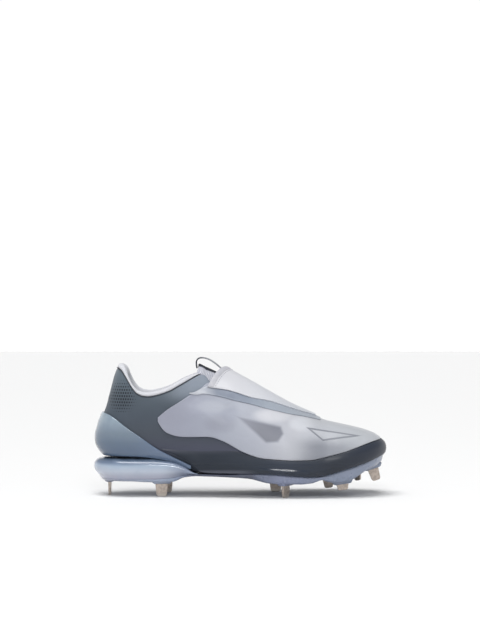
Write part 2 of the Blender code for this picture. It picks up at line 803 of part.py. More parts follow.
def blades():
    """Every blade's name, place, length, height of the tip, turn and lean, in metres."""
    for name, along, across, long, tip, turned, lean in BLADES:
        yield name, along * LENGTH, across * BALL_WIDTH, long * BALL_WIDTH, tip * INSTEP_HEIGHT, turned, lean


def under_at(x):
    return value(PLATE, "under", x / LENGTH) * INSTEP_HEIGHT


def stand(x, y, turned, lean):
    """Placement of a blade: its origin on the plate's lower face, its foot swung forward by lean."""
    tilted = Matrix.Rotation(math.radians(-lean), 4, "Y") @ Matrix.Rotation(math.radians(turned), 4, "Z")
    return Matrix.Translation((x, y, under_at(x))) @ tilted


def block(top, bottom, high, low, at):
    """Eight corners of a tapered block: half sizes at its two ends and their heights."""
    corners = []
    for (half_x, half_y), z in ((top, high), (bottom, low)):
        for sx, sy in ((-1, -1), (1, -1), (1, 1), (-1, 1)):
            corners.append(at @ Vector((sx * half_x, sy * half_y, z)))
    return corners


def housing(x, y, long, turned, lean):
    """The block that holds a blade, sunk in the plate and narrower at its foot."""
    top = (long / 2 + 2 * HOUSING_FLARE, HOUSING_HALF)
    bottom = (long / 2 + HOUSING_FLARE, HOUSING_HALF - HOUSING_FLARE)
    return block(top, bottom, HOUSING_SINK, -HOUSING_DROP, stand(x, y, turned, lean)), BOX_FACES


def make_blades(paint, into):
    for name, x, y, long, tip, turned, lean in blades():
        reach = (under_at(x) - tip) / math.cos(math.radians(lean))
        points = block(
            (long / 2, BLADE_THICK / 2),
            (long / 2 - BLADE_TAPER, BLADE_THICK / 2 - 0.2 * BLADE_TAPER),
            -HOUSING_DROP - 0.3 * MM,
            -reach,
            stand(x, y, turned, lean),
        )
        blade = add(name, points, BOX_FACES, paint, into, closed=True)
        for face in blade.data.polygons:
            face.use_smooth = False
        round_off = blade.modifiers.new("edges", "BEVEL")
        round_off.width = BLADE_EDGE
        round_off.segments = 1


def make_cushion(paint, into):
    """The bulging cell under the heel."""
    heel = [g * MIDDLE for g in spread(1.0, HEEL_START, HEEL_COLUMNS)]
    ends = spread(HEEL_X, CUSHION_END * LENGTH, 6)[1:]
    rings = []
    for c in heel + [column_at(x) for x in ends]:
        at = place(c)[2] / LENGTH
        low = value(PLATE, "top", at) * INSTEP_HEIGHT + GAP
        high = value(SECTIONS, "feather", at) * INSTEP_HEIGHT - GAP
        steps = []
        for height, reach in reversed(CUSHION_SIDE):
            inset = (1 - reach) * CUSHION_REACH
            steps.append((inset, low + (high - low) * height))
        rings.append(flat_ring(c, CUSHION, CUSHION_REACH, TOE_REACH, steps))
    return loft("heel_cushion", rings, paint, into)


def make_insole(paint, into):
    """Fills the foot of the upper from side to side, its top shaped along the foot."""
    rings = []
    for c in reversed(half_columns()):
        at = surface(c, 0.0).x / LENGTH
        top = value(INSOLE, "top", at) * INSTEP_HEIGHT
        clear = -WALL - 1.3 * MM
        sides = []
        for place_on in (c, 1 - c):
            low_edge = skin(place_on, 0.0)
            base = raised(low_edge, low_edge.z + 0.9 * MM)
            level = level_at(place_on, top)
            high_edge = raised(skin(place_on, level, clear), top)
            middle = skin(place_on, level_at(place_on, (top + base.z) / 2), clear)
            hub = TOE_X if low_edge.x > TOE_X else max(low_edge.x, HEEL_X)
            base += (Vector((hub, 0, 0)) - raised(low_edge, 0)).normalized() * (WALL + 1.6 * MM)
            sides.append([high_edge, middle, base])
        lateral, medial = sides
        ring = lateral + [(lateral[-1] + medial[-1]) / 2] + medial[::-1]
        rings.append(ring + [(lateral[0] + medial[0]) / 2])
    return loft("insole", rings, paint, into, caps=False)


def settle(objects):
    """Moves everything together so that the origin is the middle of the lowest level."""
    bpy.context.view_layer.update()
    graph = bpy.context.evaluated_depsgraph_get()
    corners = []
    for obj in objects:
        if obj.hide_render:
            continue
        mesh = obj.evaluated_get(graph).to_mesh()
        corners += [v.co.copy() for v in mesh.vertices]
    low = [min(p[i] for p in corners) for i in range(3)]
    high = [max(p[i] for p in corners) for i in range(3)]
    shift = Matrix.Translation((-(low[0] + high[0]) / 2, -(low[1] + high[1]) / 2, -low[2]))
    for obj in objects:
        obj.data.transform(shift)


def main():
    for obj in list(bpy.data.objects):
        bpy.data.objects.remove(obj, do_unlink=True)
    parts = bpy.data.collections.new("baseball_cleat")
    cutters = bpy.data.collections.new("cutters")
    bpy.context.scene.collection.children.link(parts)
    bpy.context.scene.collection.children.link(cutters)
    cutters.hide_render = True
    quarter = material("quarter_cloth", (0.10, 0.13, 0.16), 0.6)
    vamp = material("vamp_film", (0.40, 0.42, 0.50), 0.45)
    rim = material("sidewall_plastic", (0.055, 0.075, 0.10), 0.35)
    clear = material("counter_plastic", (0.20, 0.28, 0.36), 0.25)
    cell = material("cushion_plastic", (0.42, 0.52, 0.62), 0.15)
    plate = material("plate_plastic", (0.25, 0.29, 0.40), 0.3)
    metal = material("blade_metal", (0.42, 0.38, 0.34), 0.35, 1.0)
    light = material("lining_cloth", (0.60, 0.62, 0.68), 0.85)
    knit = material("tongue_knit", (0.58, 0.60, 0.68), 0.9)
    tape = material("loop_webbing", (0.30, 0.31, 0.34), 0.8)
    strap = material("cover_sheet", (0.70, 0.70, 0.75), 0.4)
    foam = material("insole_foam", (0.30, 0.33, 0.38), 0.9)
    make_upper(quarter, parts)
    make_vamp(vamp, parts)
    make_sidewall(rim, parts)
    make_counter(clear, parts)
    make_lining(light, parts)
    make_tongue(knit, parts)
    make_loop(tape, parts)
    make_cover(strap, parts)
    make_cushion(cell, parts)
    make_plate(plate, parts, cutters)
    make_insole(foam, parts)
    make_blades(metal, parts)
    settle(list(parts.objects) + list(cutters.objects))


main()
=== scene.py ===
"""Looks of a right baseball cleat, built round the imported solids.

Every curved piece comes from surface(), which is worked out in the shoe's own frame: x from the heel,
y across with the outer side negative, z up from the floor, in metres. main() shifts each piece
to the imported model's frame.
"""

import bisect
import functools
import math

import bmesh
import bpy
from mathutils import Matrix, Vector

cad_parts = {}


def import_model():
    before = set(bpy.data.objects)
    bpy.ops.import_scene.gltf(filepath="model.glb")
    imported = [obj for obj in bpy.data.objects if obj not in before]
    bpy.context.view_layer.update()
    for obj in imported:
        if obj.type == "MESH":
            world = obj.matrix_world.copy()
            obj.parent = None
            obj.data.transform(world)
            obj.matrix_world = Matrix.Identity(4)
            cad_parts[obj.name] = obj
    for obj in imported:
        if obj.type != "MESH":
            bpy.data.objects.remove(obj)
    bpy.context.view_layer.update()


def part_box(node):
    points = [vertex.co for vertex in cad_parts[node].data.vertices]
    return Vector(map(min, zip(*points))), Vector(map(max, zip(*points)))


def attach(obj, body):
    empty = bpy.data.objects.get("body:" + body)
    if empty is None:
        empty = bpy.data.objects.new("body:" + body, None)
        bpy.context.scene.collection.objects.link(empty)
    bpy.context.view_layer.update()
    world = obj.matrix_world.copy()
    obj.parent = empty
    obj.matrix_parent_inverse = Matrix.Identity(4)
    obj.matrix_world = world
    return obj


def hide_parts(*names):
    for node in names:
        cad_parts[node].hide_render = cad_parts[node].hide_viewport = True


# Main sizes of the shoe
LENGTH = 0.295
BALL_WIDTH = 0.100
INSTEP_HEIGHT = 0.129

# Shared sizes of the pieces
MM = 0.001
GAP = 0.4 * MM
WALL = 1.8 * MM
VAMP_THICK = 0.8 * MM
VAMP_GAP = 0.7 * MM
SIDEWALL_THICK = 1.8 * MM
COUNTER_THICK = 1.9 * MM
COVER_THICK = 1.5 * MM
TONGUE_THICK = 4.0 * MM
LOOP_THICK = 1.3 * MM
LOOP_WIDTH = 12.0 * MM
LOOP_SIDE = -0.020 * BALL_WIDTH
LOOP_BASE_END = 0.4475 * LENGTH
BLADE_THICK = 2.8 * MM
BLADE_TAPER = 1.0 * MM
BLADE_CORNER = 2.4 * MM
HOUSING_DROP = 2.0 * MM
HOUSING_SINK = 2.2 * MM
HOUSING_HALF = 6.0 * MM
HOUSING_FLARE = 2.3 * MM
STITCH_PITCH = 2.6 * MM
STITCH_LONG = 1.7 * MM
STITCH_THICK = 0.28 * MM

# Small holes in the quarter: their pitch along a row and the pitch of the rows, in millimetres
HOLE_PITCH = 2.4
HOLE_ROWS = 3.1

# The heel and the toe turn round upright axes at these places
HEEL_X = 0.1356 * LENGTH
TOE_X = 0.7966 * LENGTH
TOE_REACH = 0.1949 * LENGTH
HEEL_SQUARE = 2.1
TOE_SQUARE = 2.15
TOE_SLOPE = 0.50
TOE_ROUND = 8.0
WALL_START = 42.0
TOE_END = 0.247
HEEL_START = 0.827
TOE_COLUMNS = 18
SIDE_COLUMNS = 64
HEEL_COLUMNS = 16
MIDDLE = 0.5
EPS = 1e-4

# The photograph: its size and scale, the angle it looks down at, and where the origin falls in it
PHOTO_HIGH = 640
PHOTO_CENTRE = (240.0, 320.0)
METRES_PER_PIXEL = 1.01 * MM
ORIGIN_PIXEL = (240.3, 494.3)
LOOK_DOWN = 5.4
DISTANCE = 2.2
SENSOR = 36.0

# Faces of a block's eight corners, and the names of a range node's ends
BOX_FACES = [(0, 1, 2, 3), (4, 7, 6, 5), (0, 4, 5, 1), (1, 5, 6, 2), (2, 6, 7, 3), (3, 7, 4, 0)]
RANGE_ENDS = ("From Min", "From Max", "To Min", "To Max")

# How much of a screen colour a surface needs of its own, on the upper and near the floor. Near the floor it
# is more: painted light that makes up for the lesser light reaching there
UPPER_LIT = 0.68
SOLE_LIT = 0.92
FLOOR_LIT = 0.82


class Curve:
    """A column of a table, read along a curve that never overshoots its rows."""

    def __init__(self, places, heights):
        self.places = places
        self.heights = heights
        runs = zip(places, places[1:], heights, heights[1:])
        steps = [(b - a) / (after - before) for before, after, a, b in runs]
        self.slopes = [steps[0]]
        for before, after in zip(steps, steps[1:]):
            mixed = before * after
            self.slopes.append(2 * mixed / (before + after) if mixed > 0 else 0.0)
        self.slopes.append(steps[-1])

    def __call__(self, place_at):
        if place_at <= self.places[0]:
            return self.heights[0]
        if place_at >= self.places[-1]:
            return self.heights[-1]
        i = bisect.bisect_right(self.places, place_at) - 1
        width = self.places[i + 1] - self.places[i]
        u = (place_at - self.places[i]) / width
        rise = self.heights[i] * (1 + 2 * u) * (1 - u) ** 2 + self.heights[i + 1] * u * u * (3 - 2 * u)
        return rise + width * (self.slopes[i] * u * (1 - u) ** 2 + self.slopes[i + 1] * u * u * (u - 1))


def table(names, *rows):
    """Curves by name. The first column, at, is a share of the length or of the instep height."""
    columns = list(zip(*rows))
    made = {name: Curve(columns[0], column) for name, column in zip(names.split(), columns)}
    made["at"] = columns[0]
    return made


# at: share of LENGTH. swing, lateral, medial: centre line and half widths, shares of BALL_WIDTH.
# tuck: width at the bottom edge over the widest. feather, widest, ridge: heights, shares of
# INSTEP_HEIGHT. slope and round: how the section falls from its ridge to its widest place.
SECTIONS = table(
    "at swing lateral medial tuck feather widest ridge slope round",
    (0.1356, 0.000, 0.335, 0.335, 0.80, 0.3039, 0.4496, 1.380, 0.05, 3.2),
    (0.2034, 0.000, 0.344, 0.336, 0.80, 0.3016, 0.4419, 1.240, 0.06, 3.0),
    (0.2712, -0.005, 0.346, 0.328, 0.82, 0.2744, 0.4186, 1.140, 0.08, 2.8),
    (0.3119, -0.010, 0.348, 0.322, 0.84, 0.2372, 0.4031, 1.085, 0.10, 2.7),
    (0.3525, -0.015, 0.356, 0.322, 0.86, 0.1907, 0.3798, 1.039, 0.12, 2.6),
    (0.4000, -0.020, 0.374, 0.334, 0.88, 0.1829, 0.3605, 1.004, 0.14, 2.5),
    (0.4542, -0.020, 0.402, 0.358, 0.89, 0.1822, 0.3411, 0.957, 0.15, 2.5),
    (0.5322, -0.015, 0.444, 0.400, 0.90, 0.1814, 0.3178, 0.860, 0.15, 2.5),
    (0.6102, -0.005, 0.486, 0.446, 0.91, 0.1767, 0.2984, 0.764, 0.14, 2.5),
    (0.6881, 0.010, 0.510, 0.478, 0.92, 0.1643, 0.2829, 0.671, 0.12, 2.6),
    (0.7424, 0.025, 0.510, 0.484, 0.92, 0.1566, 0.2752, 0.620, 0.12, 2.6),
    (0.7966, 0.040, 0.506, 0.481, 0.92, 0.1752, 0.2791, 0.568, 0.12, 2.6),
    (0.8644, 0.040, 0.506, 0.481, 0.92, 0.2217, 0.3101, 0.541, 0.12, 2.6),
    (0.9322, 0.040, 0.506, 0.481, 0.92, 0.2651, 0.3450, 0.514, 0.12, 2.6),
    (1.0000, 0.040, 0.506, 0.481, 0.92, 0.2984, 0.3643, 0.487, 0.12, 2.6),
)

# Top edge of the upper round the ankle: share of LENGTH, share of INSTEP_HEIGHT
COLLAR = table(
    "at height",
    (0.0746, 1.002), (0.0847, 1.004), (0.0983, 0.988), (0.1119, 0.942), (0.1288, 0.876),
    (0.1475, 0.816), (0.1695, 0.792), (0.1898, 0.788), (0.2169, 0.798), (0.2644, 0.834),
    (0.2949, 0.874), (0.3390, 0.925), (0.3695, 0.950), (0.3864, 0.938),
)

# Back of the heel: share of INSTEP_HEIGHT, reach behind HEEL_X as a share of LENGTH
HEEL_BACK = table(
    "at reach",
    (0.2946, 0.0847), (0.3256, 0.0997), (0.3488, 0.1092), (0.3798, 0.1186), (0.4186, 0.1254),
    (0.4651, 0.1254), (0.5271, 0.1193), (0.5891, 0.1115), (0.6512, 0.1003), (0.7132, 0.0912),
    (0.7752, 0.0847), (0.8527, 0.0753), (0.9302, 0.0664), (0.9767, 0.0583), (1.0233, 0.0508),
)

# Half width of the throat, a share of BALL_WIDTH
THROAT = table(
    "at half",
    (0.3797, 0.178), (0.3920, 0.195), (0.4542, 0.185), (0.5322, 0.150), (0.6102, 0.125),
    (0.6780, 0.085), (0.7051, 0.050), (0.7232, 0.000),
)

# Lower and upper edges of the pieces that lie on the upper, shares of INSTEP_HEIGHT
SIDEWALL = table(
    "at low high",
    (0.2339, 0.3674, 0.3767), (0.2712, 0.338, 0.372), (0.3322, 0.268, 0.368),
    (0.3525, 0.225, 0.367), (0.3661, 0.202, 0.367), (0.4237, 0.194, 0.374), (0.4712, 0.194, 0.372),
    (0.5085, 0.194, 0.351), (0.5797, 0.192, 0.306), (0.6881, 0.176, 0.292), (0.7322, 0.168, 0.293),
    (0.7797, 0.179, 0.313), (0.8136, 0.199, 0.330), (0.8576, 0.230, 0.357), (0.9051, 0.261, 0.392),
    (0.9400, 0.285, 0.413), (0.9726, 0.318, 0.428), (1.0000, 0.342, 0.435),
)
COUNTER = table(
    "at low high",
    (0.0000, 0.322, 0.651), (0.0397, 0.322, 0.636), (0.1390, 0.321, 0.505), (0.2220, 0.305, 0.376),
    (0.2712, 0.280, 0.318), (0.3108, 0.243, 0.275), (0.3356, 0.225, 0.249),
)
VAMP = table(
    "at low high",
    (0.2220, 0.589, 0.616), (0.2339, 0.539, 0.640), (0.2519, 0.499, 0.674), (0.3007, 0.469, 0.744),
    (0.3288, 0.467, 0.787), (0.3831, 0.469, 0.872), (0.4000, 0.467, 1.085), (0.4407, 0.439, 1.085),
    (0.4746, 0.400, 1.085), (0.5105, 0.3550, 1.085), (0.5797, 0.3080, 1.085),
    (0.6881, 0.2940, 1.085), (0.7322, 0.2950, 1.085), (0.7797, 0.3142, 1.085),
    (0.8136, 0.3320, 1.085), (0.8576, 0.3584, 1.085), (0.9051, 0.3940, 1.085),
    (0.9559, 0.4243, 1.085), (1.0000, 0.4374, 1.085),
)

# Band that runs out from under the cover, ending behind in a point
BAND = table(
    "at low high",
    (0.3275, 0.797, 0.803), (0.3400, 0.790, 0.806), (0.3520, 0.786, 0.816), (0.3725, 0.793, 0.838),
    (0.4153, 0.778, 0.870), (0.4464, 0.762, 0.862), (0.5020, 0.728, 0.835), (0.5336, 0.710, 0.820),
    (0.5790, 0.680, 0.785), (0.6088, 0.662, 0.760), (0.6641, 0.632, 0.705), (0.7217, 0.605, 0.650),
    (0.7725, 0.575, 0.600),
)

# Sole plate: half widths are shares of BALL_WIDTH, heights of its two faces of INSTEP_HEIGHT
PLATE = table(
    "at lateral medial top under",
    (0.1356, 0.295, 0.295, 0.1395, 0.1186),
    (0.1898, 0.300, 0.295, 0.1395, 0.1132),
    (0.2712, 0.300, 0.284, 0.1512, 0.1163),
    (0.3119, 0.305, 0.280, 0.1705, 0.1519),
    (0.3525, 0.315, 0.280, 0.1806, 0.1612),
    (0.4000, 0.335, 0.286, 0.1798, 0.1597),
    (0.4542, 0.365, 0.315, 0.1791, 0.1566),
    (0.5322, 0.410, 0.368, 0.1890, 0.1465),
    (0.5627, 0.428, 0.390, 0.1895, 0.1302),
    (0.5966, 0.445, 0.410, 0.1875, 0.1132),
    (0.6441, 0.464, 0.438, 0.1805, 0.1062),
    (0.6983, 0.476, 0.450, 0.1710, 0.1062),
    (0.7390, 0.476, 0.452, 0.1645, 0.1132),
    (0.7593, 0.474, 0.450, 0.1645, 0.1271),
    (0.7729, 0.472, 0.448, 0.1675, 0.1380),
    (0.7898, 0.466, 0.444, 0.1775, 0.1271),
    (0.8136, 0.464, 0.442, 0.1955, 0.1147),
    (0.8542, 0.464, 0.442, 0.2240, 0.1163),
    (0.8814, 0.464, 0.442, 0.2420, 0.1357),
    (0.9017, 0.464, 0.442, 0.2560, 0.1597),
    (0.9220, 0.464, 0.442, 0.2710, 0.1907),
    (0.9492, 0.464, 0.442, 0.2940, 0.2171),
    (1.0000, 0.464, 0.442, 0.3360, 0.2560),
)
PLATE_HEEL_REACH = 0.1102 * LENGTH
PLATE_TOE_REACH = 0.1915 * LENGTH

# Heel cushion: half widths, then its round side as shares of its height and of its reach
CUSHION = table(
    "at lateral medial",
    (0.1356, 0.366, 0.366), (0.2034, 0.372, 0.362), (0.2712, 0.370, 0.352), (0.3119, 0.366, 0.344),
    (0.3424, 0.362, 0.336),
)
CUSHION_SIDE = table(
    "at reach",
    (0.00, 0.82), (0.13, 0.87), (0.28, 0.945), (0.42, 0.99), (0.56, 1.0), (0.70, 0.99),
    (0.83, 0.955), (0.94, 0.87), (1.00, 0.72),
)
CUSHION_REACH = 0.1356 * LENGTH
CUSHION_END = 0.3580

# Top of the insole, a share of INSTEP_HEIGHT
INSOLE = table(
    "at top",
    (0.0339, 0.345), (0.1695, 0.341), (0.2712, 0.322), (0.3525, 0.283), (0.4407, 0.252),
    (0.5424, 0.231), (0.6780, 0.213), (0.7525, 0.209), (0.7966, 0.222), (0.8475, 0.255),
    (0.9322, 0.303), (1.0000, 0.335),
)

# Cover over the instep: half width, then height of its ridge, from its rear hem to its front.
# The hem's depth is a share of the cover's own length.
COVER = table(
    "at half ridge",
    (0.3900, 0.278, 1.088), (0.4542, 0.273, 1.000), (0.5322, 0.268, 0.902), (0.6102, 0.214, 0.801),
    (0.6780, 0.165, 0.716), (0.7593, 0.072, 0.632),
)
COVER_REAR = 0.4542 * LENGTH
COVER_FRONT = 0.7593 * LENGTH
COVER_SLANT = 0.0640 * LENGTH
COVER_LIFT = 3.4 * MM
HEM_DEEP = 0.055

# Padded ring inside the collar: its front ends, and how it thins out towards them
LINING_FRONT = 0.3661 * LENGTH
LINING_TAPER = 0.0610 * LENGTH
LINING_THIN = 0.65
LINING_GAP = 0.7 * MM
ROLL_DEEP = 1.6 * MM
LINING_DEEP = 0.248 * INSTEP_HEIGHT

# Tongue: height of its middle and its half width, from its free top to its front
TONGUE = table(
    "at top half",
    (0.3593, 1.020, 0.140), (0.3730, 1.008, 0.145), (0.3932, 0.985, 0.215), (0.4170, 0.958, 0.240),
    (0.4542, 0.918, 0.240), (0.5085, 0.845, 0.210), (0.6102, 0.722, 0.210), (0.7051, 0.610, 0.180),
)
TONGUE_FRONT = 0.7051 * LENGTH
TONGUE_TOP = 0.3593 * LENGTH
TONGUE_FREE = 0.3661 * LENGTH
TONGUE_HOLD = 0.0240 * LENGTH
TONGUE_ARCH = 2.2 / BALL_WIDTH
TONGUE_FOLD = 3.3 / BALL_WIDTH
TONGUE_GAP = 0.9 * MM
TONGUE_LEAN = 4.6 * MM
TONGUE_LEAN_START = 0.3390 * LENGTH
TONGUE_LEAN_RUN = 0.0678 * LENGTH
RIBS_ACROSS = 7
RIB_PITCH = 4.5 * MM
RIB_DEEP = 0.32 * MM
RIBS_END = 0.140

# Pull loop, a side view of its path: shares of LENGTH and of INSTEP_HEIGHT
LOOP_PATH = ((0.3545, 0.990), (0.3518, 1.028), (0.3530, 1.050), (0.3590, 1.063), (0.3690, 1.067),
             (0.3810, 1.064), (0.4010, 1.047), (0.4235, 1.005), (0.4390, 0.973))

# Where the sidewall rolls out most, beside the ball of the foot
SIDEWALL_ROLL_X = 0.191
SIDEWALL_ROLL_LONG = 0.041
SIDEWALL_ROLL_OUT = 2.1 * MM

# Blades: name, place along as a share of LENGTH, place across and length as shares of BALL_WIDTH,
# height of the tip as a share of INSTEP_HEIGHT, turn and lean in degrees
BLADES = (
    ("spike_heel_rear", 0.0542, 0.000, 0.145, 0.0, 90.0, 0.0),
    ("spike_heel_lateral", 0.2336, -0.210, 0.125, 0.0, 8.0, 0.0),
    ("spike_heel_medial", 0.2458, 0.215, 0.125, 0.0, -8.0, 0.0),
    ("spike_ball_lateral", 0.6529, -0.335, 0.125, 0.0, 58.0, 0.0),
    ("spike_ball_medial", 0.6231, 0.325, 0.125, 0.0, -12.0, 0.0),
    ("spike_fore_lateral", 0.8441, -0.290, 0.125, 0.0558, 6.0, 8.0),
    ("spike_fore_medial", 0.8034, 0.290, 0.110, 0.0318, -10.0, 6.0),
    ("spike_toe_medial", 0.9017, 0.225, 0.090, 0.0950, -35.0, 12.0),
    ("spike_toe_lateral", 0.9508, -0.060, 0.110, 0.1163, 8.0, 18.0),
)

# Creases and swellings of the upper, in millimetres: both ends of a line as x and z, its width, how
# far it pushes the surface out (or in, if negative), and its side, outer -1, inner 1 or both 0
CREASES = (
    (104, 97, 138, 86, 7.0, -1.3, 0),
    (138, 92, 128, 70, 6.0, -0.8, 0),
    (112, 84, 124, 74, 9.0, 0.9, 0),
    (150, 84, 176, 76, 8.0, 0.7, 0),
    (206, 62, 232, 50, 7.0, -0.7, 0),
    (196, 74, 204, 48, 6.0, -0.6, -1),
    (62, 94, 86, 102, 8.0, 0.8, 0),
    (30, 92, 44, 74, 12.0, -0.8, 0),
    (252, 60, 262, 52, 6.0, -0.4, 0),
)

# Painted highlights and painted shade on the film, as soft lighter and darker spots: middle as x and height
# seen from the side, half sizes, strength and colour
FILM_LIGHT_AND_SHADE = (
    (120, 87, 20, 8, 0.45, (198, 202, 213)),
    (128, 70, 20, 12, 0.4, (150, 152, 166)),
    (180, 78, 24, 9, 0.80, (226, 227, 233)),
    (136, 79, 10, 10, 0.25, (150, 156, 174)),
    (150, 50, 40, 12, 0.30, (186, 190, 204)),
    (208, 70, 15, 10, 0.65, (228, 231, 238)),
    (84, 78, 24, 14, 0.30, (158, 161, 177)),
    (238, 72, 36, 7, 0.50, (206, 209, 214)),
)

# Panels under the film: corners as x and height seen from the side, in millimetres, clockwise
DARK_PANEL = ((139.5, 79.0), (189.5, 68.2), (192.5, 58.9), (185.5, 49.5), (172.5, 48.6))
EDGED_PANEL = ((211.5, 67.2), (241.0, 62.9), (271.0, 58.2), (229.0, 52.6))


def wide(curves, name, x):
    """A width that a table gives at x, in metres."""
    return curves[name](x / LENGTH) * BALL_WIDTH


def tall(curves, name, x):
    """A height that a table gives at x, in metres."""
    return curves[name](x / LENGTH) * INSTEP_HEIGHT


def smooth(share):
    """0 to 1 with level ends."""
    share = min(max(share, 0.0), 1.0)
    return share * share * (3 - 2 * share)


def spread(first, last, count):
    """Values from first to last in count equal steps."""
    return [first + (last - first) * i / count for i in range(count + 1)]


def side_of(c):
    return -1 if c <= MIDDLE else 1


def side_name(c):
    return "lateral" if c <= MIDDLE else "medial"


def place(c):
    """What a place round the outline is: the stretch, its angle and its x.

    c runs from the tip of the toe (0) down the outer side to the back of the heel (0.5) and up
    the inner side to the tip (1).
    """
    g = min(c, 1 - c) / MIDDLE
    if g < TOE_END:
        return "toe", (1 - g / TOE_END) * math.pi / 2, TOE_X
    if g > HEEL_START:
        return "heel", (g - HEEL_START) / (1 - HEEL_START) * math.pi / 2, HEEL_X
    share = (g - TOE_END) / (HEEL_START - TOE_END)
    return "side", 0.0, TOE_X + (HEEL_X - TOE_X) * share


def column_at(x, side=-1):
    """The place round the outline that stands at x on one side."""
    share = (TOE_X - x) / (TOE_X - HEEL_X)
    c = (TOE_END + share * (HEEL_START - TOE_END)) * MIDDLE
    return c if side < 0 else 1 - c


def turn(angle, square):
    """Forward and sideways parts of a squared-off circle."""
    power = 2 / square
    return max(math.sin(angle), 0.0) ** power, max(math.cos(angle), 0.0) ** power


@functools.lru_cache(maxsize=None)
def station(c):
    """The upper's section at a place round the outline, in metres."""
    stretch, angle, x = place(c)
    forward, sideways = turn(angle, TOE_SQUARE if stretch == "toe" else HEEL_SQUARE)
    slope = SECTIONS["slope"](x / LENGTH)
    rounding = SECTIONS["round"](x / LENGTH)
    low_x = x
    if stretch == "toe":
        low_x += TOE_REACH * forward
        slope += (TOE_SLOPE - slope) * math.sin(angle)
        rounding += (TOE_ROUND - rounding) * math.sin(angle) ** 2
    half = side_of(c) * wide(SECTIONS, side_name(c), x) * sideways
    edges = tall(SECTIONS, "feather", low_x), tall(SECTIONS, "widest", low_x), tall(SECTIONS, "ridge", x)
    swing = wide(SECTIONS, "swing", x)
    return stretch, x, forward, half, swing, SECTIONS["tuck"](x / LENGTH), *edges, slope, rounding


def surface(c, t):
    """Outside of the upper: t is 0 at its bottom edge, 1 at its widest and 2 on its ridge."""
    stretch, x, forward, half, swing, tuck, feather, widest, ridge, slope, rounding = station(c)
    if t <= 1:
        start = math.radians(WALL_START)
        turned = start + (math.pi / 2 - start) * t
        reach = tuck + (1 - tuck) * (math.sin(turned) - math.sin(start)) / (1 - math.sin(start))
        z = feather + (widest - feather) * (1 - math.cos(turned) / math.cos(start))
    else:
        reach = math.cos(min(t - 1, 1.0) * math.pi / 2)
        z = widest + (ridge - widest) * (1 - slope * reach) * math.sqrt(max(1 - reach ** rounding, 0.0))
    if stretch == "toe":
        x += TOE_REACH * forward * reach
    if stretch == "heel":
        x -= HEEL_BACK["reach"](z / INSTEP_HEIGHT) * LENGTH * forward
    return Vector((x, swing + half * reach, z))


def crease(point):
    """How far the creases push the surface out at a point."""
    pushed = 0.0
    for x1, z1, x2, z2, width, depth, side in CREASES:
        if side * point.y < 0:
            continue
        run = Vector((x2 - x1, z2 - z1))
        away = Vector((point.x / MM - x1, point.z / MM - z1))
        share = min(max(away.dot(run) / run.length_squared, 0.0), 1.0)
        pushed += depth * math.exp(-((away - run * share).length / width) ** 2)
    return pushed * MM


def skin(c, t, out=0.0):
    """A point at a distance outside the upper's creased surface, square to it."""
    point = surface(c, t)
    out += crease(point)
    if t > 2 - EPS:
        x = min(point.x, TOE_X - 0.006) / LENGTH
        rise = SECTIONS["ridge"](x + 0.01) - SECTIONS["ridge"](x - 0.01)
        normal = Vector((-rise * INSTEP_HEIGHT, 0, 0.02 * LENGTH))
        return point + normal.normalized() * out
    around = surface(min(c + EPS, 1), t) - surface(max(c - EPS, 0), t)
    upward = surface(c, min(t + EPS, 2)) - surface(c, max(t - EPS, 0))
    normal = upward.cross(around)
    if c < EPS or c > 1 - EPS:
        normal.y = 0
    return point + normal.normalized() * out


def halved(low, high, is_low):
    """The value between two others where is_low turns false."""
    for _ in range(26):
        t = (low + high) / 2
        if is_low(t):
            low = t
        else:
            high = t
    return (low + high) / 2


def level_at(c, height):
    """The t at which the surface reaches a height."""
    return halved(0.0, 2.0, lambda t: surface(c, t).z < height)


@functools.lru_cache(maxsize=None)
def top_level(c):
    """The t of the upper's top edge: the collar, then the throat, then the closed ridge."""
    stretch, _, x = place(c)
    if stretch == "toe" or x / LENGTH >= THROAT["at"][-1] - EPS:
        return 2.0
    if stretch == "side" and x / LENGTH > COLLAR["at"][-1]:
        half = SECTIONS[side_name(c)](x / LENGTH)
        return 1 + math.acos(THROAT["half"](x / LENGTH) / half) * 2 / math.pi

    def under_edge(t):
        point = surface(c, t)
        return point.z < tall(COLLAR, "height", point.x)

    return halved(1.0, 2.0, under_edge)


def even_levels(c, low, high, count):
    """Levels from low to high that stand equally far apart along the wall."""
    samples = spread(low, high, 48)
    points = [surface(c, t) for t in samples]
    run = [0.0]
    for before, after in zip(points, points[1:]):
        run.append(run[-1] + (after - before).length)
    levels = [low]
    for i in range(1, count):
        goal = run[-1] * i / count
        k = min(bisect.bisect_right(run, goal), len(run) - 1) - 1
        part = (goal - run[k]) / (run[k + 1] - run[k])
        levels.append(samples[k] + (samples[k + 1] - samples[k]) * part)
    return levels + [high]


def half_columns():
    """Places from the tip of the toe to the back of the heel."""
    toe = spread(0.0, TOE_END, TOE_COLUMNS)
    side = spread(TOE_END, HEEL_START, SIDE_COLUMNS)[1:]
    heel = spread(HEEL_START, 1.0, HEEL_COLUMNS)[1:]
    return [g * MIDDLE for g in toe + side + heel]


def both_sides(columns):
    """The same places on both sides, toe to heel to toe."""
    return columns + [1 - c for c in reversed(columns) if c < MIDDLE - EPS]


def round_toe(start_x):
    """Places from start_x on the inner side, round the toe, to start_x on the outer side."""
    start = column_at(start_x)
    half = [c for c in half_columns() if c < start - 0.001] + [start]
    return [1 - c for c in reversed(half)] + half[1:]


def edge_levels(edges, count):
    """Levels between a table's lower and upper edges, held under the upper's own top edge."""

    def levels(c):
        x = surface(c, 1.0).x
        low = level_at(c, tall(edges, "low", x))
        high = level_at(c, tall(edges, "high", x))
        top = top_level(c)
        if top < 2:
            top -= 0.03
        return even_levels(c, low, min(high, top), count)

    return levels


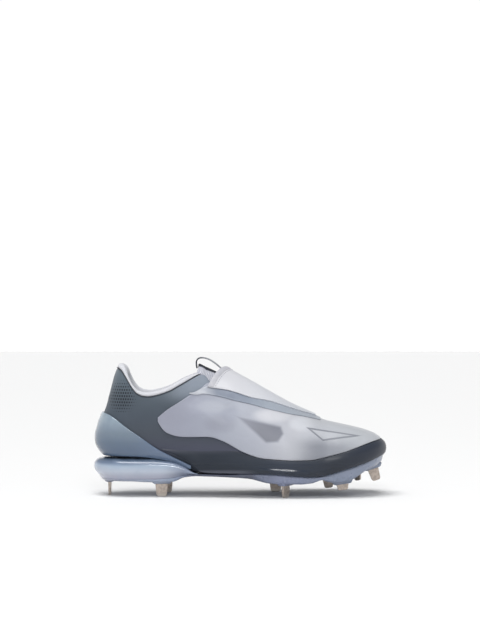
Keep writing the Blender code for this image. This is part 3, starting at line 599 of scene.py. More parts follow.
def over(x, y):
    """Height of the upper's closed form above a place on the plan, away from heel and toe."""
    at = x / LENGTH
    across = y - wide(SECTIONS, "swing", x)
    share = min(abs(across) / wide(SECTIONS, "lateral" if across < 0 else "medial", x), 1.0)
    widest = tall(SECTIONS, "widest", x)
    rise = (1 - SECTIONS["slope"](at) * share) * math.sqrt(1 - share ** SECTIONS["round"](at))
    return widest + (tall(SECTIONS, "ridge", x) - widest) * rise


def beneath(x, y, depth):
    """Height of a surface this far under the upper's closed form, measured square to it."""
    along = (over(x + MM, y) - over(x - MM, y)) / (2 * MM)
    across = (over(x, y + MM) - over(x, y - MM)) / (2 * MM)
    return over(x, y) - depth * math.sqrt(1 + along * along + across * across)


def grid_faces(count, high):
    """Quads over a grid of points stored column by column, facing outwards on surface()."""
    return [
        (i * high + j, i * high + j + 1, (i + 1) * high + j + 1, (i + 1) * high + j)
        for i in range(count - 1)
        for j in range(high - 1)
    ]


def ring_faces(first, after, count):
    """Quads between two rings of points, given by the numbers of their first points."""
    pairs = [(j, (j + 1) % count) for j in range(count)]
    return [(first + j, first + k, after + k, after + j) for j, k in pairs]


class Shoe:
    """Paints are given by name."""

    def __init__(self, shift, paints):
        self.shift = Matrix.Translation(shift)
        self.paints = paints

    def add(self, name, points, faces, paints, slot, closed=False):
        mesh = bpy.data.meshes.new(name)
        mesh.from_pydata([tuple(self.shift @ p) for p in points], [], faces)
        work = bmesh.new()
        work.from_mesh(mesh)
        bmesh.ops.remove_doubles(work, verts=work.verts, dist=1e-6)
        bmesh.ops.dissolve_degenerate(work, edges=work.edges, dist=1e-7)
        if closed:
            bmesh.ops.recalc_face_normals(work, faces=work.faces)
            if work.calc_volume(signed=True) < 0:
                bmesh.ops.reverse_faces(work, faces=work.faces)
        for face in work.faces:
            face.smooth = True
        work.to_mesh(mesh)
        work.free()
        obj = bpy.data.objects.new(name, mesh)
        for paint in paints.split():
            mesh.materials.append(self.paints[paint])
        bpy.context.scene.collection.objects.link(obj)
        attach(obj, "root")
        return obj

    def grid(self, name, columns, paints, slot):
        """An open surface through columns of equally many points."""
        points = [point for column in columns for point in column]
        return self.add(name, points, grid_faces(len(columns), len(columns[0])), paints, slot)

    def laid(self, name, columns, levels, out, thickness, paints, slot):
        """A piece that lies on the upper between two edges, this far out: a number or a function."""
        rows = []
        for c in columns:
            places = levels(c)
            row = []
            for i, t in enumerate(places):
                gap = out(c, i / (len(places) - 1)) if callable(out) else out
                row.append(skin(c, t, gap + thickness))
            rows.append(row)
        return thicken(self.grid(name, rows, paints, slot), thickness, len(paints.split()) - 1)

    def loft(self, name, rings, paints, slot, caps=True):
        """A closed piece through rings of equally many points."""
        count = len(rings[0])
        starts = range(0, len(rings) * count, count)
        faces = []
        for first, after in zip(starts, starts[1:]):
            faces += ring_faces(first, after, count)
        if caps:
            faces += [tuple(range(start, start + count)) for start in (0, starts[-1])]
        return self.add(name, [p for ring in rings for p in ring], faces, paints, slot, closed=True)


def walled(obj, thickness, inner=0):
    """Gives an open surface its thickness, with the material this many places on inside."""
    solid = obj.modifiers.new("wall", "SOLIDIFY")
    solid.thickness = thickness
    solid.offset = -1
    solid.material_offset = inner
    return obj


def soften(obj, levels=1):
    rounder = obj.modifiers.new("soft", "SUBSURF")
    rounder.levels = levels
    rounder.render_levels = levels
    return obj


def thicken(obj, thickness, inner=0):
    return soften(walled(obj, thickness, inner))


def bevelled(obj, width, segments):
    round_off = obj.modifiers.new("edges", "BEVEL")
    round_off.width = width
    round_off.segments = segments
    round_off.limit_method = "ANGLE"
    return obj


def tube(shoe, name, path, radius, paint, slot):
    """A round cord-like edge along a path, drawn in at both ends."""
    rings = []
    for i, point in enumerate(path):
        ahead = path[min(i + 1, len(path) - 1)] - path[max(i - 1, 0)]
        across = ahead.cross(Vector((0, 0, 1))).normalized()
        up = across.cross(ahead).normalized()
        size = radius * (0.35 if i in (0, len(path) - 1) else 1.0)
        around = spread(0, 2 * math.pi, 8)[:-1]
        rings.append([point + (across * math.cos(a) + up * math.sin(a)) * size for a in around])
    return shoe.loft(name, rings, paint, slot)


def spindle(middle, ahead, across, normal, long, thick):
    """Four rings of six points, narrow at both ends: one stitch."""
    points = []
    for share, size in ((-0.5, 0.35), (-0.3, 1.0), (0.3, 1.0), (0.5, 0.35)):
        for k in range(6):
            out = across * math.cos(k * math.pi / 3) + normal * math.sin(k * math.pi / 3)
            points.append(middle + ahead * share * long + out * size * thick)
    return points


def stitches(shoe, name, path, normal, paint, slot):
    """A row of sewn stitches along a path, each a small spindle sunk halfway in the cloth."""
    points = []
    faces = []
    run = 0.0
    due = STITCH_PITCH / 2
    for before, after in zip(path, path[1:]):
        step = (after - before).length
        ahead = (after - before).normalized()
        across = ahead.cross(normal).normalized()
        while due < run + step:
            start = len(points)
            middle = before.lerp(after, (due - run) / step)
            points += spindle(middle, ahead, across, normal, STITCH_LONG, STITCH_THICK)
            for first in (start, start + 6, start + 12):
                faces += ring_faces(first, first + 6, 6)
            faces += [tuple(range(end, end + 6)) for end in (start, start + 18)]
            due += STITCH_PITCH
        run += step
    return shoe.add(name, points, faces, paint, slot, closed=True)


class Field:
    """A value that varies over a surface, used in sums and products as a number is."""

    def __init__(self, paint, socket):
        self.paint = paint
        self.socket = socket

    def __add__(self, other):
        return self.paint.math("ADD", self, other)

    def __sub__(self, other):
        return self.paint.math("SUBTRACT", self, other)

    def __rsub__(self, other):
        return self.paint.math("SUBTRACT", other, self)

    def __mul__(self, other):
        return self.paint.math("MULTIPLY", self, other)

    def __truediv__(self, other):
        return self.paint.math("DIVIDE", self, other)

    __radd__ = __add__
    __rmul__ = __mul__


def feed(tree, socket, given):
    """Links a field or a node's output to a socket, or sets the socket to a number or a colour."""
    if isinstance(given, Field):
        given = given.socket
    if isinstance(given, bpy.types.NodeSocket):
        tree.links.new(given, socket)
    else:
        socket.default_value = given


def add_node(tree, kind, inputs=(), **settings):
    """A node of this kind: first its settings, then its inputs by name or number."""
    node = tree.nodes.new("ShaderNode" + kind)
    for setting, given in settings.items():
        setattr(node, setting, given)
    for socket, given in dict(inputs).items():
        feed(tree, node.inputs[socket], given)
    return node


def rgb(red, green, blue, lit):
    """The surface colour that the studio's light turns into this screen colour, 0 to 255."""
    parts = []
    for part in (red, green, blue):
        part /= 255
        part = part / 12.92 if part <= 0.04045 else ((part + 0.055) / 1.055) ** 2.4
        parts.append(min(part * lit, 1.0))
    return (*parts, 1.0)


class Paint:
    """One material's nodes. x, y and z are the shoe's own, in millimetres.

    seen is the height as the side view shows it, a little lower the further a point stands out.
    Colours are nodes' outputs, or screen colours, 0 to 255, of which the surface needs the share lit.
    """

    def __init__(self, name, shift, settings, lit=UPPER_LIT):
        self.made = bpy.data.materials.new(name)
        self.made.use_nodes = True
        self.lit = lit
        self.node = functools.partial(add_node, self.made.node_tree)
        self.feed = functools.partial(feed, self.made.node_tree)
        self.shader = self.made.node_tree.nodes["Principled BSDF"]
        for socket, amount in settings.items():
            self.shader.inputs[socket].default_value = amount
        here = self.node("TexCoord").outputs["Object"]
        moved = self.node("VectorMath", {0: here, 1: shift}, operation="SUBTRACT").outputs[0]
        self.here = self.node("VectorMath", {0: moved, "Scale": 1 / MM}, operation="SCALE").outputs[0]
        parts = self.node("SeparateXYZ", {0: self.here})
        self.x, self.y, self.z = [Field(self, output) for output in parts.outputs]
        self.seen = 0.9956 * self.z - 0.094 * self.math("ABSOLUTE", self.y)
        self.colour = None
        self.relief = None

    def math(self, operation, *values):
        node = self.node("Math", enumerate(values), operation=operation)
        return Field(self, node.outputs[0])

    def wave(self, given):
        return self.math("SINE", given)

    def step(self, given, low, high):
        """0 below low, 1 above high, smooth between; high may be the lower one."""
        ends = (low, high, 0.0, 1.0) if low < high else (high, low, 1.0, 0.0)
        inputs = {"Value": given, **dict(zip(RANGE_ENDS, ends))}
        node = self.node("MapRange", inputs, interpolation_type="SMOOTHSTEP")
        return Field(self, node.outputs["Result"])

    def spot(self, x, height, half_x, half_height):
        """1 in the middle of a soft ellipse in the side view, 0 at its edge."""
        across = (self.x - x) / half_x
        up = (self.seen - height) / half_height
        return self.step(across * across + up * up, 1.0, 0.0)

    def noise(self, size, detail=3.0, rough=0.5, stretch=(1.0, 1.0, 1.0)):
        """Soft random field with features of about this many millimetres."""
        spot = self.node("VectorMath", {0: self.here, 1: stretch}, operation="MULTIPLY").outputs[0]
        inputs = {"Vector": spot, "Scale": 1 / size, "Detail": detail, "Roughness": rough}
        return Field(self, self.node("TexNoise", inputs).outputs["Fac"])

    def cells(self, size):
        """Distance to the nearest of many scattered points, for grain."""
        node = self.node("TexVoronoi", {"Vector": self.here, "Scale": 1 / size})
        return Field(self, node.outputs["Distance"])

    def shade(self, colour):
        return rgb(*colour, self.lit) if isinstance(colour, (tuple, list)) else colour

    def ramp(self, given, *stops):
        """Sets the colour along a value: stops are the value, then red, green and blue."""
        low = stops[0][0]
        high = stops[-1][0]
        ramp_node = self.node("ValToRGB", {0: (given - low) / (high - low)})
        ramp = ramp_node.color_ramp
        while len(ramp.elements) < len(stops):
            ramp.elements.new(0.5)
        for element, (at, *colour) in zip(ramp.elements, stops):
            element.position = (at - low) / (high - low)
            element.color = self.shade(colour)
        self.colour = ramp_node.outputs["Color"]

    def mix(self, factor, first, second):
        """The first colour where the factor is 0, the second where it is 1."""
        inputs = {"Factor": factor, 6: self.shade(first), 7: self.shade(second)}
        return self.node("Mix", inputs, data_type="RGBA").outputs[2]

    def tint(self, share, colour):
        """Lays another colour over the paint's own by this share."""
        self.colour = self.mix(share, self.colour, colour)

    def bump(self, height, deep):
        """Adds a relief this many millimetres deep."""
        inputs = {"Strength": 1.0, "Distance": deep * MM, "Height": height}
        if self.relief is not None:
            inputs["Normal"] = self.relief
        self.relief = self.node("Bump", inputs).outputs[0]

    def panel(self, corners, edge):
        """1 inside a panel in the side view, 0 outside, over an edge this wide; then the depth in it."""
        inside = None
        for (x1, h1), (x2, h2) in zip(corners, corners[1:] + corners[:1]):
            long = math.hypot(x2 - x1, h2 - h1)
            depth = (h2 - h1) / long * (self.x - x1) - (x2 - x1) / long * (self.seen - h1)
            inside = depth if inside is None else self.math("SMOOTH_MIN", inside, depth, 1.0)
        return self.step(inside, 0.0, edge), inside

    def done(self, rough=None):
        inputs = {"Base Color": self.colour, "Roughness": rough, "Normal": self.relief}
        for socket, given in inputs.items():
            if given is not None:
                self.feed(self.shader.inputs[socket], given)
        return self.made


def paint_quarter(shift):
    """Dark coated cloth, paler towards the collar, pierced with small holes at the heel; its colour holds
    painted light and shade.
    """
    settings = {"Coat Weight": 0.04, "Coat Roughness": 0.4, "Specular IOR Level": 0.22}
    p = Paint("quarter_cloth", shift, settings)
    # Darker low down and paler higher up: the cloth's own colour together with painted shade low and painted
    # light high.
    p.ramp(
        p.seen,
        (20, 48, 54, 63), (36, 62, 68, 79), (44, 82, 85, 102), (60, 80, 87, 98),
        (78, 84, 94, 106), (96, 92, 103, 114), (112, 106, 119, 130), (124, 116, 129, 140),
    )
    # Painted highlight over a paler front of the collar.
    p.tint(p.step(p.x, 62, 100) * p.step(p.seen, 84, 104), (150, 160, 174))
    p.tint(0.16 * p.noise(14.0), (60, 66, 78))
    row = p.z / HOLE_ROWS
    shifted = 0.5 * p.math("FLOORED_MODULO", p.math("FLOOR", row), 2.0)
    across = HOLE_PITCH * (p.math("FRACT", p.x / HOLE_PITCH + shifted) - 0.5)
    up = HOLE_ROWS * (p.math("FRACT", row) - 0.5)
    away = p.math("SQRT", across * across + 0.45 * up * up)
    near = p.spot(29.0, 97.0, 19.0, 21.0) * p.step(p.math("ABSOLUTE", p.y), 8, 15)
    hole = p.step(0.74 * near - away, -0.12, 0.12) * p.step(near, 0.0, 0.1)
    # Each hole is painted dark: painted shade in the hollow behind it.
    p.tint(0.95 * hole, (30, 34, 43))
    p.bump(p.cells(0.55), 0.05)
    p.bump(p.noise(5.0), 0.12)
    p.bump(1.0 - hole, 0.35)
    return p.done(0.44 + 0.14 * p.noise(3.0))


def paint_vamp(shift):
    """Light film over a fine mesh, with two pointed panels showing through it, and painted light and shade
    laid over it.
    """
    settings = {"Coat Weight": 0.12, "Coat Roughness": 0.3, "Specular IOR Level": 0.28}
    p = Paint("vamp_film", shift, settings)
    # The colour along the shoe holds both the film's own colour and painted light and shade.
    p.ramp(
        p.x,
        (62, 167, 170, 186), (100, 171, 175, 191), (130, 178, 183, 197), (160, 186, 190, 202),
        (200, 204, 206, 214), (225, 202, 205, 213), (260, 198, 202, 208), (278, 201, 205, 211),
        (293, 198, 201, 208),
    )
    # Painted shade low on the toe's sides, over the darker layer that shows through the film there.
    low = p.step(p.x, 190, 225) * p.step(p.seen, 62, 46) * p.step(p.x, 276, 236)
    p.tint(0.85 * low, (138, 142, 152))
    # Painted highlights and painted shade, laid as soft spots.
    for *oval, share, shade in FILM_LIGHT_AND_SHADE:
        p.tint(share * p.spot(*oval), shade)
    dark, _ = p.panel(DARK_PANEL, 4.0)
    shade = p.mix(p.step(p.x, 142, 172), (150, 153, 167), (126, 129, 141))
    p.tint(0.9 * dark, shade)
    edged, depth = p.panel(EDGED_PANEL, 0.8)
    inner = p.step(depth, 1.2, 2.2)
    rim = edged - inner
    p.tint(0.6 * inner * p.step(p.x, 252, 226), (206, 209, 215))
    p.tint(0.85 * rim, (138, 142, 152))
    weave = p.wave(5.2 * p.x) * p.wave(5.2 * p.z)
    p.tint(0.10 * p.step(weave, 0.2, 0.9), (140, 146, 164))
    p.bump(weave, 0.03)
    p.bump(p.noise(7.0, 2.0), 0.25)
    p.bump(1.0 - dark, 0.5)
    p.bump(rim, 0.6)
    return p.done(0.30 + 0.14 * p.noise(4.0))


def paint_sidewall(shift):
    """Dark slate plastic, paler at its rear upper edge and along the arch, with painted light and shade in
    its colour.
    """
    settings = {"Coat Weight": 0.1, "Coat Roughness": 0.2, "Specular IOR Level": 0.3}
    p = Paint("sidewall_plastic", shift, settings)
    # The colour along the shoe holds both the plastic's own colour and painted light and shade.
    p.ramp(
        p.x,
        (120, 30, 40, 54), (165, 40, 50, 64), (190, 50, 59, 75), (240, 40, 47, 59), (290, 52, 59, 74),
    )
    p.tint(p.step(p.x, 165, 120) * p.step(p.seen, 38, 47), (80, 83, 98))
    p.tint(p.step(p.x, 168, 145) * p.step(p.seen, 25, 21.5), (96, 100, 113))
    p.tint(0.25 * p.noise(22.0, 2.0), (56, 62, 74))
    p.bump(p.noise(0.6), 0.02)
    p.bump(p.noise(9.0, 2.0), 0.15)
    return p.done(0.13 + 0.08 * p.noise(6.0) + 0.28 * p.step(p.seen, 27, 33))


def paint_counter(shift):
    """See-through blue plastic, clouded, and paler towards its top edge, with painted light and shade in its
    colour.
    """
    settings = {"Coat Weight": 0.35, "Coat Roughness": 0.1, "Transmission Weight": 0.12, "IOR": 1.45}
    p = Paint("counter_plastic", shift, settings)
    # Paler with height: the plastic's own colour together with painted light at the top and painted shade
    # low down.
    p.ramp(
        p.z,
        (38, 113, 133, 160), (46, 109, 129, 157), (54, 114, 133, 156), (64, 136, 153, 170),
        (76, 165, 184, 200), (86, 177, 196, 211),
    )
    # Painted light at the clip's front, lifting it where it faces down into shade.
    p.tint(0.85 * p.step(p.x, 36, 72), (128, 148, 178))
    p.tint(0.25 * p.step(p.noise(20.0, 2.0), 0.42, 0.66), (112, 132, 160))
    p.bump(p.noise(12.0, 2.0), 0.2)
    return p.done(0.16 + 0.10 * p.noise(5.0))


def paint_cushion(shift):
    """Glossy light-blue cell, milky below, darker at its top with painted shade where it meets the clip."""
    settings = {"Coat Weight": 0.55, "Coat Roughness": 0.07, "Transmission Weight": 0.08, "IOR": 1.4}
    p = Paint("cushion_plastic", shift, settings, SOLE_LIT)
    # Palest in the middle and darkest at the top: the cell's own colour together with painted shade in the
    # groove under the clip.
    p.ramp(
        p.z,
        (17, 163, 164, 183), (21, 176, 180, 197), (26, 189, 198, 213), (31, 163, 178, 197),
        (34, 108, 124, 148), (37, 88, 104, 126), (40, 70, 84, 104),
    )
    p.tint(0.9 * p.step(p.x, 66, 98), (111, 121, 143))
    p.tint(0.22 * p.step(p.noise(16.0, 2.0), 0.45, 0.7), (150, 168, 192))
    p.bump(p.noise(14.0, 2.0), 0.2)
    return p.done(0.12 + 0.08 * p.noise(6.0))


def paint_plate(shift):
    """Hazy lavender plastic, moulded with a fine criss-cross under the forefoot."""
    settings = {"Coat Weight": 0.4, "Coat Roughness": 0.2, "IOR": 1.5, "Transmission Weight": 0.06}
    p = Paint("plate_plastic", shift, settings, SOLE_LIT)
    # The colour along the shoe holds both the plate's own colour and painted light and shade.
    p.ramp(
        p.x,
        (8, 160, 163, 180), (70, 166, 178, 200), (88, 140, 152, 178), (97, 96, 106, 130),
        (104, 78, 84, 103), (158, 76, 82, 101), (170, 106, 114, 139), (186, 134, 141, 168),
        (240, 132, 142, 164), (292, 134, 144, 164),
    )
    p.tint(0.3 * p.step(p.noise(15.0, 2.0), 0.42, 0.7), (140, 148, 172))
    ribs = p.math("MAXIMUM", p.wave(1.5 * (p.x + p.y)), p.wave(1.5 * (p.x - p.y)))
    p.bump(p.step(ribs, 0.80, 0.96) * p.step(p.z, 24, 20), 0.25)
    p.bump(p.noise(8.0, 2.0), 0.15)
    return p.done(0.22 + 0.15 * p.noise(4.0))


def paint_metal(shift):
    """Blasted champagne-grey steel, brighter where its edges have worn."""
    p = Paint("blade_metal", shift, {"Metallic": 1.0}, SOLE_LIT)
    p.colour = p.mix(p.step(p.noise(2.2), 0.35, 0.7), (190, 178, 168), (162, 152, 145))
    p.tint(p.step(p.z, 5.0, 0.0), (196, 190, 182))
    p.bump(p.noise(0.5), 0.03)
    p.bump(p.noise(0.25, 2.0, 0.6, (1.0, 1.0, 0.06)), 0.02)
    return p.done(0.26 + 0.22 * p.noise(1.2))


def paint_cloth(name, shift, light, shade, pitch, deep):
    """Woven or knitted cloth: rows of small loops this many millimetres apart."""
    p = Paint(name, shift, {"Roughness": 0.85, "Sheen Weight": 0.25, "Sheen Roughness": 0.5})
    turns = 2 * math.pi / pitch
    loops = p.wave(turns * (p.x + 0.6 * p.y)) * p.wave(turns * p.z)
    # The loops' hollows take the shade colour: painted shade in the knit.
    p.colour = p.mix(p.step(loops, -0.6, 0.7), shade, light)
    p.tint(0.2 * p.noise(9.0), shade)
    p.bump(loops, deep)
    p.bump(p.noise(0.35), 0.05)
    return p.done()


def paint_cover(shift):
    """Smooth pale coated sheet, faintly pearly."""
    p = Paint("cover_sheet", shift, {"Coat Weight": 0.25, "Coat Roughness": 0.3, "Sheen Weight": 0.1})
    # The colour along the shoe holds both the sheet's own colour and painted light and shade, darker towards
    # the front.
    p.ramp(
        p.x,
        (112, 219, 220, 225), (134, 232, 232, 237), (170, 229, 231, 237), (224, 208, 213, 221),
    )
    p.tint(0.25 * p.noise(30.0, 2.0), (196, 202, 216))
    p.bump(p.cells(0.45), 0.03)
    p.bump(p.noise(11.0, 2.0), 0.2)
    return p.done(0.26 + 0.16 * p.noise(3.0))


def paint_band(shift):
    """Thin bluish layer under the cover, pale at its pointed rear end, darker where painted shade from the
    cover's edge lies over it.
    """
    p = Paint("band_film", shift, {"Coat Weight": 0.3, "Coat Roughness": 0.3})
    # The darker blue middle holds painted shade from the cover's edge over the layer's own bluish colour.
    p.ramp(
        p.x,
        (94, 206, 209, 217), (112, 196, 200, 210), (124, 134, 143, 161), (150, 140, 150, 168),
        (175, 174, 183, 196), (228, 186, 193, 203),
    )
    p.tint(0.3 * p.noise(8.0), (130, 140, 158))
    p.bump(p.noise(5.0), 0.2)
    return p.done(0.28 + 0.14 * p.noise(3.0))


def paint_plain(name, shift, colour, worn, rough=0.6):
    """A small part's own colour, mottled and finely grained."""
    p = Paint(name, shift, {})
    p.colour = p.mix(p.step(p.noise(3.0), 0.4, 0.7), colour, worn)
    p.bump(p.noise(0.6), 0.05)
    return p.done(rough - 0.1 + 0.2 * p.noise(2.0))


def paint_loop(shift):
    """Ribbed webbing, dark behind and grey in front."""
    p = Paint("loop_webbing", shift, {"Roughness": 0.75, "Sheen Weight": 0.2})
    p.colour = p.mix(p.step(p.x, 105, 112), (70, 74, 84), (176, 179, 186))
    ribs = p.wave(6.0 * (p.x + 0.7 * p.z))
    p.tint(0.3 * p.step(ribs, 0.2, 1.0), (110, 114, 124))
    p.bump(ribs, 0.12)
    p.bump(p.wave(7.0 * p.y), 0.06)
    return p.done()


def make_paints(shift):
    return {
        "quarter": paint_quarter(shift),
        "vamp": paint_vamp(shift),
        "sidewall": paint_sidewall(shift),
        "counter": paint_counter(shift),
        "cushion": paint_cushion(shift),
        "plate": paint_plate(shift),
        "metal": paint_metal(shift),
        "lining": paint_cloth("lining_cloth", shift, (252, 253, 255), (228, 230, 240), 1.3, 0.15),
        "knit": paint_cloth("tongue_knit", shift, (242, 243, 250), (186, 189, 206), 2.3, 0.3),
        "insole": paint_cloth("insole_foam", shift, (120, 126, 138), (92, 98, 110), 1.0, 0.08),
        "cover": paint_cover(shift),
        "band": paint_band(shift),
        "loop": paint_loop(shift),
        "dark": paint_plain("seam_dark", shift, (54, 58, 68), (74, 78, 90)),
        "hem": paint_plain("hem_cloth", shift, (206, 206, 213), (196, 197, 206), 0.5),
        "thread": paint_plain("thread", shift, (160, 163, 174), (146, 149, 162), 0.7),
    }


def towards_front(x):
    """0 round the ankle, rising to 1 at the lining's front ends."""
    return smooth((x - LINING_FRONT + LINING_TAPER) / LINING_TAPER)


@functools.lru_cache(maxsize=None)
def rim_level(c):
    """Where the upper ends under the lining's roll, a little below its top edge round the ankle."""
    top = top_level(c)
    edge = surface(c, top)
    if top == 2.0 or edge.x > COLLAR["at"][-1] * LENGTH:
        return top
    return level_at(c, edge.z - ROLL_DEEP * (1 - towards_front(edge.x)))


def upper_levels(c):
    return even_levels(c, 0.0, rim_level(c), 26)


def make_upper(shoe):
    columns = both_sides(half_columns())
    paints = "quarter lining"
    obj = shoe.laid("upper_shell", columns, upper_levels, -WALL, WALL, paints, "quarter_cloth")
    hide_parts("upper")


def make_vamp(shoe):
    columns = round_toe(VAMP["at"][0] * LENGTH)
    levels = edge_levels(VAMP, 24)
    obj = shoe.laid("vamp_skin", columns, levels, VAMP_GAP, VAMP_THICK, "vamp", "vamp_film")
    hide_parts("vamp_layer")


def sidewall_out(c, share):
    """The band swells a little, rolls outwards above its lower edge and thins out at its upper edge."""
    x = surface(c, 1.0).x
    ball = math.exp(-((x - SIDEWALL_ROLL_X) / SIDEWALL_ROLL_LONG) ** 2)
    roll = SIDEWALL_ROLL_OUT * ball * math.exp(-((share - 0.33) / 0.12) ** 2)
    behind = 1 - smooth((x - 0.13) / 0.05)
    sunk = (0.7 + 1.6 * behind) * MM
    slant = min(sunk, 0.14 * (tall(SIDEWALL, "high", x) - tall(SIDEWALL, "low", x)))
    sunk -= slant * (1 - smooth((share - 0.6 + 0.3 * behind) / (0.4 + 0.3 * behind)))
    return GAP + roll + 0.5 * MM * math.sin(math.pi * share) - sunk


def make_sidewall(shoe):
    columns = round_toe(SIDEWALL["at"][0] * LENGTH)
    levels = edge_levels(SIDEWALL, 16)
    obj = shoe.laid("sidewall_band", columns, levels, sidewall_out, SIDEWALL_THICK, "sidewall",
                    "sidewall_plastic")
    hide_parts("sidewall")


def make_counter(shoe):
    start = column_at(COUNTER["at"][-1] * LENGTH)
    columns = both_sides([start] + [c for c in half_columns() if c > start + 0.001])
    levels = edge_levels(COUNTER, 20)
    obj = shoe.laid("heel_clip", columns, levels, GAP, COUNTER_THICK, "counter", "counter_plastic")
    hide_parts("heel_counter")


def make_band(shoe):
    """A thin layer on each side that shows below the cover."""
    out = VAMP_GAP + VAMP_THICK + 0.05 * MM
    for name, side in (("outer_band", -1), ("inner_band", 1)):
        places = spread(BAND["at"][0] * LENGTH, BAND["at"][-1] * LENGTH, 70)
        columns = [column_at(x, side) for x in places[::side]]
        shoe.laid(name, columns, edge_levels(BAND, 8), out, 0.7 * MM, "band", "vamp_film")


def lining_columns():
    return both_sides([c for c in half_columns() if c > column_at(LINING_FRONT)])


def make_lining(shoe):
    """A padded ring inside the collar, rolled over the upper's top edge."""
    rings = []
    for c in lining_columns():
        pad = 1 - LINING_THIN * towards_front(surface(c, 1.0).x)
        top = top_level(c)
        low = level_at(c, surface(c, top).z - LINING_DEEP)
        rim = rim_level(c)
        edge = skin(c, top)
        inward = skin(c, top, -MM) - edge
        inward.z = 0
        inward.normalize()
        up = Vector((0, 0, 1))
        rings.append([
            *[skin(c, low + (rim - low) * share, -WALL - LINING_GAP) for share in (0, 0.25, 0.5, 0.75, 1)],
            skin(c, rim, -WALL - LINING_GAP) + up * GAP,
            skin(c, rim, -0.1 * MM) + up * GAP,
            edge + inward * 0.1 * MM + up * GAP,
            edge + inward * 0.5 * MM + up * (2 * GAP + 1.2 * MM * pad),
            edge + inward * (0.6 * WALL + 0.8 * MM * pad) + up * (2 * GAP + 2.2 * MM * pad),
            edge + inward * (WALL + 2.2 * MM * pad) + up * (2 * GAP + 1.9 * MM * pad),
            edge + inward * (WALL + 4.0 * MM * pad) - up * 0.6 * MM,
            edge + inward * (WALL + 5.2 * MM * pad) - up * 5.0 * MM,
            skin(c, low + (top - low) * 0.5, -WALL - GAP - 4.8 * MM * pad),
            skin(c, low + (top - low) * 0.25, -WALL - GAP - 3.4 * MM * pad),
            skin(c, low, -WALL - GAP - 1.2 * MM * pad),
        ])
    obj = soften(shoe.loft("collar_pad", rings, "lining", "lining_cloth"))
    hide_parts("collar_lining")


def make_piping(shoe):
    """The dark seam between the upper's top edge and the lining, drawn dark also as painted shade for the
    gap between them.
    """
    path = [skin(c, rim_level(c), 0.1 * MM) + Vector((0, 0, 0.1 * MM)) for c in lining_columns()]
    tube(shoe, "collar_piping", path, 0.42 * MM, "dark", "quarter_cloth")


def tongue_point(x, w):
    """A point on the tongue, w from -1 to 1 across it."""
    middle = wide(SECTIONS, "swing", x)
    y = wide(TONGUE, "half", x) * w
    arch = TONGUE_ARCH + TONGUE_FOLD * (1 - smooth((x - TONGUE_TOP) / (TONGUE_FREE - TONGUE_TOP) / 3))
    z = tall(TONGUE, "top", x) - arch * y * y
    under = beneath(x, middle + y, WALL + TONGUE_GAP)
    z += (min(z, under) - z) * smooth((x - TONGUE_FREE) / TONGUE_HOLD)
    lean = TONGUE_LEAN * w * w * (1 - smooth((x - TONGUE_LEAN_START) / TONGUE_LEAN_RUN))
    return Vector((x - lean, middle + y, z))


def make_tongue(shoe):
    """Ribbed knit: follows the foot under the throat and stands free above the collar."""
    rows = []
    for x in spread(TONGUE_FRONT, TONGUE_TOP, 80):
        ends = smooth((x - TONGUE_TOP) / 0.002) * smooth((RIBS_END - x) / 0.01)
        row = []
        for w in spread(-1.0, 1.0, 60):
            turns = RIBS_ACROSS * abs(w) + (x - TONGUE_TOP) / RIB_PITCH
            rib = RIB_DEEP * math.cos(2 * math.pi * turns) * smooth((1 - abs(w)) / 0.1) * ends
            row.append(tongue_point(x, w) + Vector((0, 0, rib)))
        rows.append(row)
    obj = thicken(shoe.grid("tongue_body", rows, "knit", "tongue_knit"), TONGUE_THICK)
    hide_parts("tongue")


def make_loop(shoe):
    """A ribbon bent over the tongue, both ends against it, and the dark strip under it."""
    across = [LOOP_WIDTH * w + LOOP_SIDE for w in spread(-0.5, 0.5, 6)]
    path = [(at * LENGTH, height * INSTEP_HEIGHT) for at, height in LOOP_PATH]
    rows = [[Vector((x, y, z)) for y in across] for x, z in path]
    obj = walled(soften(shoe.grid("loop_ribbon", rows, "loop", "loop_webbing"), 2), LOOP_THICK)
    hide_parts("pull_loop")
    rows = []
    for x in spread(LOOP_BASE_END, TONGUE_TOP - 0.3 * MM, 24):
        row = []
        for y in across:
            w = (y - wide(SECTIONS, "swing", x)) / wide(TONGUE, "half", x)
            spot = tongue_point(max(x, TONGUE_TOP), w)
            row.append(Vector((min(x, spot.x), spot.y, spot.z + 0.7 * LOOP_THICK)))
        rows.append(row)
    thicken(shoe.grid("loop_base", rows, "dark", "loop_webbing"), LOOP_THICK)


def cover_point(share, w, lift=0.0):
    """A point on the cover: share from its front (0) to its rear edge (1), w from -1 to 1 across."""
    rear = COVER_REAR - COVER_SLANT * abs(w) ** 1.2
    x = COVER_FRONT + (rear - COVER_FRONT) * share
    middle = wide(SECTIONS, "swing", x)
    half = wide(COVER, "half", x)
    edge = beneath(x, middle + half * (-1 if w < 0 else 1), -COVER_LIFT)
    z = edge + (tall(COVER, "ridge", x) - edge) * (1 - abs(w) ** 1.7)
    clear = beneath(x, middle + half * w, -COVER_LIFT)
    return Vector((x, middle + half * w, max(z, clear) + lift))


